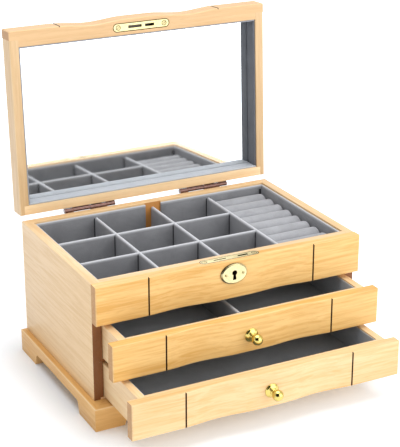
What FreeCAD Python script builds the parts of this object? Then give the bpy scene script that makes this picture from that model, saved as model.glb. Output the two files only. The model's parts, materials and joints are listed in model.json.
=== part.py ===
import FreeCAD, Part
import math
import os

# Wooden ring box: a lidded tray with a mirror, two drawers under it, and a bracket-foot base.
# Millimetres, +Z up, front towards -Y.  The origin is on the floor, at the middle of the base.
# The part is modelled as it stands in use: lid open, both drawers pulled out by different amounts.

V = FreeCAD.Vector
UP, DOWN, FORWARD, BACKWARD, ALONG = V(0, 0, 1), V(0, 0, -1), V(0, -1, 0), V(0, 1, 0), V(1, 0, 0)

# ---- driving sizes: carcase ----
CASE_WIDTH = 300.0
CASE_DEPTH = 199.3
WALL = 10.0              # side and back boards of the carcase and of the lid
FACING = 11.1            # bowed rail glued over the front ends of the side boards
EDGE_ROUND = 1.2         # outer top edges of the side boards
FRONT_BEVEL = 0.9        # all round the face of a bowed front
LET_IN = 3.0             # how far a shelf is let into the boards around it
REBATE = 5.0             # how far the back board laps into the side boards
FIT = 0.3                # clearance at the bottom of a groove and around a loose panel

# ---- driving sizes: heights, from the floor upwards ----
PLINTH_HEIGHT = 24.4
FRONT_LIFT = 0.6         # plinth to the lower drawer front
DRAWER_FRONT_HEIGHT = 38.0
DRAWER_FRONT_GAP = 3.9   # between the two drawer fronts
RAIL_GAP = 4.8           # middle drawer front to the rail
RAIL_HEIGHT = 41.1
TRAY_FLOOR_RISE = 2.1    # middle drawer front to the underside of the tray floor
TRAY_WALL_RISE = 1.3     # middle drawer front to the underside of the tray's front wall

# ---- driving sizes: bowed fronts ----
LAND_HALF = 15.0         # half of the flat in the middle
WAVE_END = 97.0          # where the hollow on each side ends
WAVE_DEPTH = 2.8
V_GROOVE_X = 93.6
V_GROOVE_WIDTH = 1.8
V_GROOVE_DEPTH = 1.4

# ---- driving sizes: plinth ----
PLINTH_STEP = 6.8        # ledge round the front and the sides
PLINTH_BOARD = 20.0
PLINTH_ROUND = 2.0
ARCH_HEIGHT = 13.5
ARCH_TAPER = 4.5
ARCH_ROUND = 3.0
SIDE_FOOT = 41.4
FRONT_FOOT = 31.6

# ---- driving sizes: shelves ----
DUST_BOARD = 3.0
TRAY_FLOOR = 4.0
TRAY_WALL = 7.6          # inner front wall of the tray, behind the rail

# ---- driving sizes: tray fittings ----
LINING = 2.1             # velvet-covered card on the tray walls
LINING_GAP = 0.4         # card to wood
LINING_DROP = 1.5        # below the top of the carcase
FLOOR_LINING = 1.2
BACK_LINING_OPENING = 19.0
DIVIDER = 3.6
DIVIDER_DROP = 5.5
TRAY_COLUMNS = 4
CROSS_FRONT_BAY = 54.2   # clear length of the front row of compartments
CROSS_PITCH = 58.5
HALVING_PLAY = 0.2
ROLL_PITCH = 19.4
FINGER_GAP = 8.0         # least room left in front of the rolls
ROLL_PLAY = 0.3          # between neighbouring rolls, and around the pad
ROLL_DROP = 8.8          # roll crest below the top of the carcase
ROLL_HEIGHT = 15.0
ROLL_END_GAP = 2.5       # roll ends to the right-hand lining

# ---- driving sizes: drawers ----
DRAWER_STOP_GAP = 0.3    # back of a closed front to the side boards
DRAWER_SIDE_PLAY = 1.0
DRAWER_SIDE = 8.0
DRAWER_INNER_FRONT = 3.0
DRAWER_BOX_LIFT = 1.9    # underside of the box above the underside of its front
DRAWER_RUN_PLAY = 0.3    # box to the board that it slides on
DRAWER_BACK_GAP = 3.3    # box to the carcase back when closed
DRAWER_BOTTOM = 3.0
DRAWER_BOTTOM_RISE = 2.5
DRAWER_LET_IN = 2.5
DRAWER_LINING = 1.2
DRAWER_LINING_DROP = 1.0
DRAWER_DIVIDER_DROP = 5.5
MIDDLE_PULL = 38.0
LOWER_PULL = 80.0

# ---- driving sizes: knobs ----
KNOB_BASE_RADIUS = 7.5
KNOB_RIM = 0.8
KNOB_DOME = 3.2
KNOB_NECK_RADIUS = 2.1
KNOB_NECK_FLARE = 1.3    # neck at the base against neck at the ball
KNOB_BALL_RADIUS = 5.75
KNOB_BALL_REACH = 12.0   # drawer front to the middle of the ball
KNOB_BELOW_MIDDLE = 1.0
KNOB_SCREW_RADIUS = 1.8
KNOB_SCREW_BITE = 7.0    # thread length inside the knob
KNOB_SCREW_HEAD_RADIUS = 3.6
KNOB_SCREW_HEAD = 2.0

# ---- driving sizes: lid ----
LID_GAP = 0.8            # rim to the carcase when closed
LID_THICKNESS = 21.0
LID_MOULDING = 9.8
LID_INNER_RAIL = 7.4
LID_PANEL = 2.5
LID_PANEL_LAP = 4.0
MIRROR = 2.0
MIRROR_PLAY = 0.5
LID_LINING = 2.0
LID_LINING_DROP = 1.0
LID_OPEN_ANGLE = 92.8

# ---- driving sizes: hinges ----
HINGE_X = 70.0
HINGE_LENGTH = 60.0
KNUCKLE_SHARES = (1, 2, 2, 1)    # alternately on the case leaf and on the lid leaf
KNUCKLE_GAP = 0.3
KNUCKLE_RADIUS = 2.4
HINGE_PIN_RADIUS = 1.2
HINGE_PIN_PLAY = 0.05
PIVOT_BEHIND = 3.2       # pin behind the backs of the lid and the carcase
PIVOT_RISE = 1.5         # pin above the top of the carcase
LEAF = 1.2
LEAF_HEIGHT = 14.0
LEAF_CLEAR = 2.0         # leaf edge to the pin's level
LEAF_SCREW_PITCH = 20.0
LEAF_SCREWS = 3
STOP_REACH = 5.5         # stop lug behind the pin
STOP_LUG = 2.5
STOP_DROP = 8.0
STOP_LENGTH = 12.0
STOP_GAP = 0.3

# ---- driving sizes: screws ----
SCREW_RADIUS = 1.1
SCREW_HEAD_RADIUS = 2.3
SCREW_LENGTH = 7.5
SCREW_SLOT = 0.5
HOLE_PLAY = 0.05

# ---- driving sizes: lock ----
LOCK_SETBACK = 9.1       # middle of the lock behind the front face
PLATE_LENGTH = 66.5
PLATE_WIDTH = 9.4
PLATE = 1.2
PLATE_PLAY = 0.1
LOCK_SCREW_X = 28.4
LOCK_SCREW_SLOT = V(0.6, 0.8, 0)      # which way the driver slots point
STRIKE_SCREW_X = 27.0
STRIKE_SCREW_SLOT = V(0.8, -0.6, 0)
LOCK_BODY_LENGTH = 48.0
LOCK_BODY_WIDTH = 7.0
LOCK_BODY_HEIGHT = 22.0
MORTISE_PLAY = 0.2
DUMMY_SLOT = (-17.7, -4.1, 1.6)      # from, to, width: key-side slot of the lock plate
HOOK_SLOT = (9.7, 21.0, 3.0)         # the hook comes up through this one
DUMMY_SLOT_DEPTH = 1.5
STRIKE_DUMMY_SLOT = (-15.4, 0.3, 3.0)
STRIKE_HOOK_SLOT = (4.4, 15.3, 3.0)
STRIKE_POCKET_DEPTH = 5.6
HOOK_X = 3.5
HOOK_PIVOT_DROP = 4.0
HOOK_INNER_RADIUS = 8.0
HOOK_OUTER_RADIUS = 10.4
HOOK_THICKNESS = 2.0
HOOK_PLAY = 0.35
HOOK_TIP_ANGLE = 18.0    # from +X towards +Z, unlocked
HOOK_TAIL_ANGLE = -100.0
HOOK_ARM_ANGLE = 28.0    # width of the arm between the hub and the tail
HOOK_HUB_RADIUS = 2.3
HOOK_OVERLAP = 0.5       # how far the arm runs into the hub and the hook
HOOK_PIN_RADIUS = 1.0
HOOK_PIN_PLAY = 0.05

# ---- driving sizes: escutcheon ----
ESCUTCHEON_WIDTH = 29.6
ESCUTCHEON_HEIGHT = 21.6
ESCUTCHEON_RIM = 1.4
ESCUTCHEON_THICKNESS = 2.4
ESCUTCHEON_BEVEL = 1.3
ESCUTCHEON_DROP = 13.8   # its middle below the top of the carcase
KEYHOLE_RISE = 1.3       # round part above the middle of the escutcheon
KEYHOLE_RADIUS = 2.8
KEYHOLE_DROP = 7.5       # round part to the bottom of the slot
KEYHOLE_NECK = 2.6
KEYHOLE_FOOT = 4.0
KEYHOLE_BITE = 1.8       # depth in the lock body
ESCUTCHEON_PIN_X = 9.75
ESCUTCHEON_PIN_RADIUS = 0.7
ESCUTCHEON_PIN_HEAD = 1.3
ESCUTCHEON_PIN_LENGTH = 4.5

# ---- levels and faces that follow ----
FOOTPRINT_DEPTH = CASE_DEPTH + PLINTH_STEP
BACK = FOOTPRINT_DEPTH / 2
FRONT = BACK - CASE_DEPTH
OPEN_TURN = math.radians(LID_OPEN_ANGLE)
HALF = CASE_WIDTH / 2
INNER = HALF - WALL
INNER_BACK = BACK - WALL
CARCASE_FRONT = FRONT + FACING
TRAY_FRONT = CARCASE_FRONT + TRAY_WALL
LOWER_FRONT_Z = PLINTH_HEIGHT + FRONT_LIFT
MIDDLE_FRONT_Z = LOWER_FRONT_Z + DRAWER_FRONT_HEIGHT + DRAWER_FRONT_GAP
MIDDLE_TOP = MIDDLE_FRONT_Z + DRAWER_FRONT_HEIGHT
RAIL_Z = MIDDLE_TOP + RAIL_GAP
TOP = RAIL_Z + RAIL_HEIGHT
TRAY_FLOOR_Z = MIDDLE_TOP + TRAY_FLOOR_RISE
TRAY_FLOOR_TOP = TRAY_FLOOR_Z + TRAY_FLOOR
TRAY_WALL_Z = MIDDLE_TOP + TRAY_WALL_RISE
DUST_TOP = MIDDLE_FRONT_Z + DRAWER_BOX_LIFT - DRAWER_RUN_PLAY
BOTTOM_TOP = LOWER_FRONT_Z + DRAWER_BOX_LIFT - DRAWER_RUN_PLAY
LINED_HALF = INNER - LINING_GAP - LINING
LINED_FRONT = TRAY_FRONT + LINING_GAP + LINING
LINED_BACK = INNER_BACK - LINING_GAP - LINING
FELT_TOP = TRAY_FLOOR_TOP + FLOOR_LINING
DIVIDER_TOP = TOP - DIVIDER_DROP
COLUMN_PITCH = 2 * LINED_HALF / TRAY_COLUMNS
ROLL_COUNT = int((LINED_BACK - LINED_FRONT - FINGER_GAP) / ROLL_PITCH)
RIM = TOP + LID_GAP
LID_TOP = RIM + LID_THICKNESS
MIRROR_TOP = LID_TOP - LID_PANEL
MIRROR_FACE = MIRROR_TOP - MIRROR
LID_FRONT = FRONT + LID_MOULDING
LID_INNER_FRONT = LID_FRONT + LID_INNER_RAIL
PIVOT = V(0, BACK + PIVOT_BEHIND, TOP + PIVOT_RISE)
LOCK_Y = FRONT + LOCK_SETBACK
HOOK_PIVOT = V(HOOK_X, LOCK_Y, TOP - HOOK_PIVOT_DROP)
ESCUTCHEON_Z = TOP - ESCUTCHEON_DROP
TINY = 0.01


# ---- small tools ----
def block(x0, x1, y0, y1, z0, z1):
    return Part.makeBox(x1 - x0, y1 - y0, z1 - z0, V(x0, y0, z0))


def rod(radius, start, direction, length):
    return Part.makeCylinder(radius, length, start, direction)


def outline(points):
    return Part.makePolygon(points + points[:1])


def prism(points, direction):
    return Part.Face(outline(points)).extrude(direction)


def mirrored(shape):
    return shape.mirror(V(0, 0, 0), ALONG)


def rounded(shape, radius, wanted):
    """Round the edges whose bounding box passes the test."""
    edges = [edge for edge in shape.Edges if wanted(edge.BoundBox)]
    return shape.makeFillet(radius, edges)


def near(a, b):
    return abs(a - b) < TINY


def opened(shape):
    """Swing a lid piece from closed to open about the hinge pins."""
    turned = shape.copy()
    turned.rotate(PIVOT, ALONG, -LID_OPEN_ANGLE)
    return turned


def pulled(shape, distance):
    moved = shape.copy()
    moved.translate(V(0, -distance, 0))
    return moved


def save(name, *shapes):
    solids = [solid for shape in shapes for solid in shape.Solids]
    whole = solids[0] if len(solids) == 1 else Part.makeCompound(solids)
    whole.exportStep(os.path.join("parts", name + ".step"))


# ---- bowed fronts ----
def wave(x):
    """Setback of a bowed front at x: nothing in the middle and at the ends, a hollow between."""
    share = (abs(x) - LAND_HALF) / (WAVE_END - LAND_HALF)
    if share <= 0 or share >= 1:
        return 0.0
    return WAVE_DEPTH * (1 - math.cos(2 * math.pi * share)) / 2


def wave_edge(x0, x1, z):
    """The hollow from x0 to x1 as one smooth edge."""
    steps = 8
    points = []
    for i in range(steps + 1):
        x = x0 + (x1 - x0) * i / steps
        points.append(V(x, FRONT + wave(x), z))
    curve = Part.BSplineCurve()
    curve.interpolate(Points=points, InitialTangent=ALONG, FinalTangent=ALONG)
    return curve.toShape()


def bowed_board(thickness, bottom, top):
    """A front board with two hollows, soft edges and a V-groove near each end."""
    back = FRONT + thickness
    left, right = V(-HALF, FRONT, bottom), V(HALF, FRONT, bottom)
    edges = [
        Part.makeLine(left, V(-WAVE_END, FRONT, bottom)),
        wave_edge(-WAVE_END, -LAND_HALF, bottom),
        Part.makeLine(V(-LAND_HALF, FRONT, bottom), V(LAND_HALF, FRONT, bottom)),
        wave_edge(LAND_HALF, WAVE_END, bottom),
        Part.makeLine(V(WAVE_END, FRONT, bottom), right),
        Part.makeLine(right, V(HALF, back, bottom)),
        Part.makeLine(V(HALF, back, bottom), V(-HALF, back, bottom)),
        Part.makeLine(V(-HALF, back, bottom), left),
    ]
    board = Part.Face(Part.Wire(edges)).extrude(V(0, 0, top - bottom))

    def on_front(b):
        return b.YMax < FRONT + WAVE_DEPTH + TINY and (near(b.ZMin, b.ZMax) or near(abs(b.XMin), HALF))

    board = board.makeChamfer(FRONT_BEVEL, [edge for edge in board.Edges if on_front(edge.BoundBox)])
    for x in (-V_GROOVE_X, V_GROOVE_X):
        board = board.cut(v_groove(x, bottom, top))
    return board


def v_groove(x, bottom, top):
    over = 1.0
    half = V_GROOVE_WIDTH / 2 * (V_GROOVE_DEPTH + over) / V_GROOVE_DEPTH
    face = FRONT + wave(x)
    corners = [V(x - half, face - over, bottom), V(x + half, face - over, bottom),
               V(x, face + V_GROOVE_DEPTH, bottom)]
    return prism(corners, V(0, 0, top - bottom))


# ---- screws ----
def screw(head_centre, inward):
    """A countersunk screw, its head flush at head_centre."""
    head = Part.makeCone(SCREW_HEAD_RADIUS, SCREW_RADIUS, PLATE, head_centre, inward)
    return head.fuse(rod(SCREW_RADIUS, head_centre + inward * PLATE, inward, SCREW_LENGTH - PLATE))


def slotted(fastener, head_centre, inward, slot_along):
    """Cuts the driver slot across a screw's head."""
    across = inward.cross(slot_along)
    start = head_centre - slot_along * SCREW_HEAD_RADIUS - across * (SCREW_SLOT / 2)
    side = slot_along * (2 * SCREW_HEAD_RADIUS)
    corners = [start, start + side, start + side + across * SCREW_SLOT, start + across * SCREW_SLOT]
    return fastener.cut(prism(corners, inward * SCREW_SLOT))


def screw_hole(head_centre, inward):
    """Clears a screw in the plate and in the wood behind it."""
    head = Part.makeCone(SCREW_HEAD_RADIUS + HOLE_PLAY, SCREW_RADIUS + HOLE_PLAY, PLATE, head_centre, inward)
    return head.fuse(rod(SCREW_RADIUS + HOLE_PLAY, head_centre + inward * PLATE, inward,
                         SCREW_LENGTH - PLATE + FIT))


# ---- lock ----
def plate_blank(low, play):
    """A plate with round ends, its underside at low."""
    radius = PLATE_WIDTH / 2 + play
    reach = PLATE_LENGTH / 2 - PLATE_WIDTH / 2
    bar = block(-reach, reach, LOCK_Y - radius, LOCK_Y + radius, low, low + PLATE)
    for x in (-reach, reach):
        bar = bar.fuse(rod(radius, V(x, LOCK_Y, low), UP, PLATE))
    return bar.removeSplitter()


def slot_cutter(slot, low, high):
    start, end, width = slot
    return block(start, end, LOCK_Y - width / 2, LOCK_Y + width / 2, low, high)


def lock_screw_places(offset):
    return [V(x, LOCK_Y, TOP) for x in (-offset, offset)]


def strike_screw_places():
    return [V(x, LOCK_Y, RIM) for x in (-STRIKE_SCREW_X, STRIKE_SCREW_X)]


def lock_mortise():
    """What the lock needs cut out of the rail and of the tray's front wall."""
    half = LOCK_BODY_LENGTH / 2 + MORTISE_PLAY
    side = LOCK_BODY_WIDTH / 2 + MORTISE_PLAY
    low = TOP - PLATE - LOCK_BODY_HEIGHT - MORTISE_PLAY
    room = block(-half, half, LOCK_Y - side, LOCK_Y + side, low, TOP)
    room = room.fuse(plate_blank(TOP - PLATE, PLATE_PLAY))
    for place in lock_screw_places(LOCK_SCREW_X):
        room = room.fuse(screw_hole(place, DOWN))
    return room


def keyhole(front, depth, play):
    """Round hole over a flared slot, cut from front backwards."""
    z = ESCUTCHEON_Z + KEYHOLE_RISE
    neck, foot = KEYHOLE_NECK / 2 + play, KEYHOLE_FOOT / 2 + play
    low = z - KEYHOLE_DROP - play
    slot = prism([V(-neck, front, z), V(neck, front, z), V(foot, front, low), V(-foot, front, low)],
                 V(0, depth, 0))
    return slot.fuse(rod(KEYHOLE_RADIUS + play, V(0, front, z), BACKWARD, depth))


def ring_sector(inner, outer, start_angle, end_angle):
    """A flat sector of a ring round the hook's pivot, as thick as the hook."""
    def at(radius, angle):
        turn = math.radians(angle)
        y = LOCK_Y - HOOK_THICKNESS / 2
        return V(HOOK_PIVOT.x + radius * math.cos(turn), y, HOOK_PIVOT.z + radius * math.sin(turn))

    middle = (start_angle + end_angle) / 2
    far = Part.Arc(at(outer, start_angle), at(outer, middle), at(outer, end_angle)).toShape()
    close = Part.Arc(at(inner, end_angle), at(inner, middle), at(inner, start_angle)).toShape()
    side_a = Part.makeLine(at(outer, end_angle), at(inner, end_angle))
    side_b = Part.makeLine(at(inner, start_angle), at(outer, start_angle))
    face = Part.Face(Part.Wire([far, side_a, close, side_b]))
    return face.extrude(V(0, HOOK_THICKNESS, 0))


def lock_hook():
    """The curved hook that swings up through the plate and over the strike's bar."""
    start = HOOK_PIVOT - V(0, HOOK_THICKNESS / 2, 0)
    hook = ring_sector(HOOK_INNER_RADIUS, HOOK_OUTER_RADIUS, HOOK_TAIL_ANGLE, HOOK_TIP_ANGLE)
    arm = ring_sector(HOOK_PIN_RADIUS + HOOK_OVERLAP, HOOK_INNER_RADIUS + HOOK_OVERLAP,
                      HOOK_TAIL_ANGLE, HOOK_TAIL_ANGLE + HOOK_ARM_ANGLE)
    hub = rod(HOOK_HUB_RADIUS, start, BACKWARD, HOOK_THICKNESS)
    bore = rod(HOOK_PIN_RADIUS + HOOK_PIN_PLAY, start, BACKWARD, HOOK_THICKNESS)
    return hook.fuse([arm, hub]).removeSplitter().cut(bore)


def lock_parts():
    high = TOP - PLATE
    half, side = LOCK_BODY_LENGTH / 2, LOCK_BODY_WIDTH / 2
    body = block(-half, half, LOCK_Y - side, LOCK_Y + side, high - LOCK_BODY_HEIGHT, high)
    reach = HOOK_OUTER_RADIUS + HOOK_PLAY
    gap = HOOK_THICKNESS / 2 + HOOK_PLAY
    left = HOOK_X - HOOK_HUB_RADIUS - HOOK_PLAY
    body = body.cut(block(left, HOOK_SLOT[1], LOCK_Y - gap, LOCK_Y + gap, HOOK_PIVOT.z - reach, high))
    body = body.cut(slot_cutter(DUMMY_SLOT, high - DUMMY_SLOT_DEPTH, high))
    body = body.cut(keyhole(LOCK_Y - side, KEYHOLE_BITE, 0))
    pin = rod(HOOK_PIN_RADIUS, V(HOOK_X, LOCK_Y - side, HOOK_PIVOT.z), BACKWARD, LOCK_BODY_WIDTH)
    save("lock_body", body.fuse(pin).removeSplitter())

    plate = plate_blank(high, 0).cut(slot_cutter(DUMMY_SLOT, high, TOP))
    plate = plate.cut(slot_cutter(HOOK_SLOT, high, TOP))
    screws = []
    for place in lock_screw_places(LOCK_SCREW_X):
        plate = plate.cut(screw_hole(place, DOWN))
        screws.append(slotted(screw(place, DOWN), place, DOWN, LOCK_SCREW_SLOT))
    save("lock_plate", plate)
    save("lock_plate_screws", *screws)
    save("lock_hook", lock_hook())


# ---- escutcheon ----
def ellipse_face(width, height, y):
    curve = Part.Ellipse(V(0, y, ESCUTCHEON_Z), width / 2, height / 2).toShape()
    curve.rotate(V(0, y, ESCUTCHEON_Z), ALONG, 90)
    return Part.Wire(curve)


def escutcheon_pin_places():
    return [V(x, FRONT, ESCUTCHEON_Z) for x in (-ESCUTCHEON_PIN_X, ESCUTCHEON_PIN_X)]


def escutcheon_parts():
    face = FRONT - ESCUTCHEON_THICKNESS
    step = FRONT - ESCUTCHEON_RIM
    full = ellipse_face(ESCUTCHEON_WIDTH, ESCUTCHEON_HEIGHT, FRONT)
    edge = ellipse_face(ESCUTCHEON_WIDTH, ESCUTCHEON_HEIGHT, step)
    land = ellipse_face(ESCUTCHEON_WIDTH - 2 * ESCUTCHEON_BEVEL, ESCUTCHEON_HEIGHT - 2 * ESCUTCHEON_BEVEL, face)
    plate = Part.Face(full).extrude(V(0, -ESCUTCHEON_RIM, 0))
    plate = plate.fuse(Part.makeLoft([edge, land], True, True)).removeSplitter()
    plate = plate.cut(keyhole(face, ESCUTCHEON_THICKNESS, 0))
    pins = []
    for place in escutcheon_pin_places():
        seat = place - V(0, ESCUTCHEON_THICKNESS, 0)
        plate = plate.cut(rod(ESCUTCHEON_PIN_RADIUS + HOLE_PLAY, seat, BACKWARD, ESCUTCHEON_THICKNESS))
        shank = rod(ESCUTCHEON_PIN_RADIUS, seat, BACKWARD, ESCUTCHEON_PIN_LENGTH)
        dome = Part.makeSphere(ESCUTCHEON_PIN_HEAD, seat, FORWARD, 0, 90, 360)
        pins.append(shank.fuse(dome))
    save("escutcheon", plate)
    save("escutcheon_pins", *pins)


def escutcheon_pin_holes():
    return [rod(ESCUTCHEON_PIN_RADIUS + HOLE_PLAY, place, BACKWARD, ESCUTCHEON_PIN_LENGTH)
            for place in escutcheon_pin_places()]


# ---- carcase ----
def shelf(front, low, high):
    """A shelf let into both side boards and the back board."""
    return block(-INNER - LET_IN, INNER + LET_IN, front, INNER_BACK + LET_IN, low, high)


def shelf_groove(front, low, high):
    deep = LET_IN + FIT
    return block(-INNER - deep, INNER + deep, front, INNER_BACK + deep, low, high)


def carcase_grooves():
    return [shelf_groove(TRAY_FRONT - LET_IN - FIT, TRAY_FLOOR_Z, TRAY_FLOOR_TOP),
            shelf_groove(CARCASE_FRONT, DUST_TOP - DUST_BOARD, DUST_TOP),
            shelf_groove(CARCASE_FRONT, PLINTH_HEIGHT, BOTTOM_TOP)]


def back_board(low, high):
    """Laps into the rear edges of the side boards."""
    return block(-INNER - REBATE, INNER + REBATE, INNER_BACK, BACK, low, high)


def hinge_leaf_holes(leaf_middle):
    holes = []
    for x in leaf_screw_columns():
        holes.append(screw_hole(V(x, BACK + LEAF, leaf_middle), FORWARD))
    return holes


def carcase():
    grooves = carcase_grooves()
    side = block(-HALF, -INNER, CARCASE_FRONT, BACK, PLINTH_HEIGHT, TOP)
    side = rounded(side, EDGE_ROUND, lambda b: near(b.XMax, -HALF) and near(b.ZMin, TOP))
    side = side.cut(grooves + [back_board(PLINTH_HEIGHT, TOP)])
    save("left_side_panel", side)
    save("right_side_panel", mirrored(side))

    back = back_board(PLINTH_HEIGHT, TOP)
    back = back.cut(grooves + hinge_leaf_holes(CASE_LEAF_MIDDLE))
    save("back_panel", back)

    mortise = lock_mortise()
    wall = block(-INNER, INNER, CARCASE_FRONT, TRAY_FRONT, TRAY_WALL_Z, TOP)
    save("tray_front_wall", wall.cut([grooves[0], mortise]))

    rail = bowed_board(FACING, RAIL_Z, TOP).cut(mortise)
    rail = rail.cut([keyhole(FRONT, LOCK_SETBACK, MORTISE_PLAY)] + escutcheon_pin_holes())
    save("front_rail", rail)

    save("tray_floor", shelf(TRAY_FRONT - LET_IN, TRAY_FLOOR_Z, TRAY_FLOOR_TOP))
    save("dust_board", shelf(CARCASE_FRONT, DUST_TOP - DUST_BOARD, DUST_TOP))
    save("case_bottom", shelf(CARCASE_FRONT, PLINTH_HEIGHT, BOTTOM_TOP))


# ---- plinth ----
def plinth_board(length, foot, soft_top):
    """A mitred board along +X with its face at y = 0 and an arch between two bracket feet."""
    board = block(0, length, 0, PLINTH_BOARD, 0, PLINTH_HEIGHT)
    if soft_top:
        board = rounded(board, PLINTH_ROUND, lambda b: near(b.YMax, 0) and near(b.ZMin, PLINTH_HEIGHT))
    reach = foot + ARCH_TAPER
    arch = prism([V(foot, 0, 0), V(reach, 0, ARCH_HEIGHT), V(length - reach, 0, ARCH_HEIGHT),
                  V(length - foot, 0, 0)], V(0, PLINTH_BOARD, 0))
    arch = rounded(arch, ARCH_ROUND, lambda b: near(b.ZMin, ARCH_HEIGHT) and near(b.XMin, b.XMax))
    board = board.cut(arch)
    for end, inward in ((0, 1), (length, -1)):
        wedge = [V(end, 0, 0), V(end + inward * PLINTH_BOARD, PLINTH_BOARD, 0), V(end, PLINTH_BOARD, 0)]
        board = board.cut(prism(wedge, V(0, 0, PLINTH_HEIGHT)))
    return board


def plinth():
    half = HALF + PLINTH_STEP
    front = plinth_board(2 * half, FRONT_FOOT, True)
    front.translate(V(-half, FRONT - PLINTH_STEP, 0))
    back = plinth_board(2 * half, FRONT_FOOT, False)
    back.rotate(V(0, 0, 0), UP, 180)
    back.translate(V(half, BACK, 0))
    left = plinth_board(FOOTPRINT_DEPTH, SIDE_FOOT, True)
    left.rotate(V(0, 0, 0), UP, -90)
    left.translate(V(-half, BACK, 0))
    save("plinth_front", front)
    save("plinth_back", back)
    save("plinth_left", left)
    save("plinth_right", mirrored(left))


# ---- tray fittings ----
def tray_lining():
    high = TOP - LINING_DROP
    outer = INNER - LINING_GAP
    near_wall = TRAY_FRONT + LINING_GAP
    far_wall = INNER_BACK - LINING_GAP
    opening = BACK_LINING_OPENING / 2
    boards = [block(-outer, outer, near_wall, LINED_FRONT, TRAY_FLOOR_TOP, high),
              block(-outer, -LINED_HALF, LINED_FRONT, far_wall, TRAY_FLOOR_TOP, high),
              block(LINED_HALF, outer, LINED_FRONT, far_wall, TRAY_FLOOR_TOP, high),
              block(-LINED_HALF, -opening, LINED_BACK, far_wall, TRAY_FLOOR_TOP, high),
              block(opening, LINED_HALF, LINED_BACK, far_wall, TRAY_FLOOR_TOP, high)]
    felt = block(-LINED_HALF, LINED_HALF, LINED_FRONT, LINED_BACK, TRAY_FLOOR_TOP, FELT_TOP)
    save("tray_lining", felt, *boards)


def divider_board(start, end, low, high):
    """An upright board with a fully rounded top, from start to end."""
    along = (end - start).normalize()
    across = V(-along.y, along.x, 0) * (DIVIDER / 2)
    foot = V(start.x, start.y, low)
    shoulder = V(start.x, start.y, high - DIVIDER / 2)
    crest = V(start.x, start.y, high)
    arc = Part.Arc(shoulder - across, crest, shoulder + across).toShape()
    edges = [Part.makeLine(foot + across, foot - across), Part.makeLine(foot - across, shoulder - across),
             arc, Part.makeLine(shoulder + across, foot + across)]
    return Part.Face(Part.Wire(edges)).extrude(end - start)


def cross_rows():
    first = LINED_FRONT + CROSS_FRONT_BAY
    return [first, first + CROSS_PITCH]


def dividers():
    half_height = (FELT_TOP + DIVIDER_TOP) / 2
    notch = (DIVIDER + HALVING_PLAY) / 2
    columns = [COLUMN_PITCH * (i - TRAY_COLUMNS / 2) for i in range(1, TRAY_COLUMNS)]
    crossed = columns[:-1]
    names = ["left_divider", "centre_divider", "right_divider"]
    for name, x in zip(names, columns):
        back = INNER_BACK if near(x, 0) else LINED_BACK
        board = divider_board(V(x, LINED_FRONT, 0), V(x, back, 0), FELT_TOP, DIVIDER_TOP)
        if x in crossed:
            for y in cross_rows():
                board = board.cut(block(x - DIVIDER, x + DIVIDER, y - notch, y + notch, FELT_TOP, half_height))
        save(name, board)
    end = columns[-1] - DIVIDER / 2
    for name, y in zip(["front_cross_divider", "back_cross_divider"], cross_rows()):
        board = divider_board(V(-LINED_HALF, y, 0), V(end, y, 0), FELT_TOP, DIVIDER_TOP)
        for x in crossed:
            board = board.cut(block(x - notch, x + notch, y - DIVIDER, y + DIVIDER, half_height, DIVIDER_TOP))
        save(name, board)


def ring_roll(x0, x1, y, low, high):
    """A padded roll: half round on top and straight below."""
    radius = (ROLL_PITCH - ROLL_PLAY) / 2
    centre = high - radius
    arc = Part.Arc(V(x0, y - radius, centre), V(x0, y, high), V(x0, y + radius, centre)).toShape()
    foot_a, foot_b = V(x0, y - radius, low), V(x0, y + radius, low)
    edges = [arc, Part.makeLine(V(x0, y + radius, centre), foot_b), Part.makeLine(foot_b, foot_a),
             Part.makeLine(foot_a, V(x0, y - radius, centre))]
    return Part.Face(Part.Wire(edges)).extrude(V(x1 - x0, 0, 0))


def ring_pad():
    left = COLUMN_PITCH * (TRAY_COLUMNS / 2 - 1) + DIVIDER / 2 + ROLL_PLAY
    top = TOP - ROLL_DROP
    base_top = top - ROLL_HEIGHT
    back = LINED_BACK - ROLL_PLAY
    rolls = []
    for i in range(ROLL_COUNT):
        y = back - ROLL_PITCH * (i + 0.5)
        rolls.append(ring_roll(left, LINED_HALF - ROLL_END_GAP, y, base_top, top))
    front = back - ROLL_PITCH * ROLL_COUNT
    save("ring_rolls", *rolls)
    save("ring_pad_base", block(left, LINED_HALF - ROLL_PLAY, front, back, FELT_TOP, base_top))


# ---- hinges ----
CASE_LEAF_TOP = PIVOT.z - LEAF_CLEAR
LID_LEAF_LOW = PIVOT.z + LEAF_CLEAR
CASE_LEAF_MIDDLE = CASE_LEAF_TOP - LEAF_HEIGHT / 2
LID_LEAF_MIDDLE = LID_LEAF_LOW + LEAF_HEIGHT / 2


def leaf_screw_columns():
    middle = (LEAF_SCREWS - 1) / 2
    offsets = [(i - middle) * LEAF_SCREW_PITCH for i in range(LEAF_SCREWS)]
    return [side * HINGE_X + offset for side in (-1, 1) for offset in offsets]


def knuckles(centre):
    """Start and end of each knuckle along X, in order."""
    unit = HINGE_LENGTH / sum(KNUCKLE_SHARES)
    x = centre - HINGE_LENGTH / 2
    spans = []
    for share in KNUCKLE_SHARES:
        spans.append((x, x + share * unit))
        x += share * unit
    last = len(spans) - 1
    gap = KNUCKLE_GAP / 2
    return [(a + (gap if i > 0 else 0), b - (gap if i < last else 0)) for i, (a, b) in enumerate(spans)]


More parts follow.
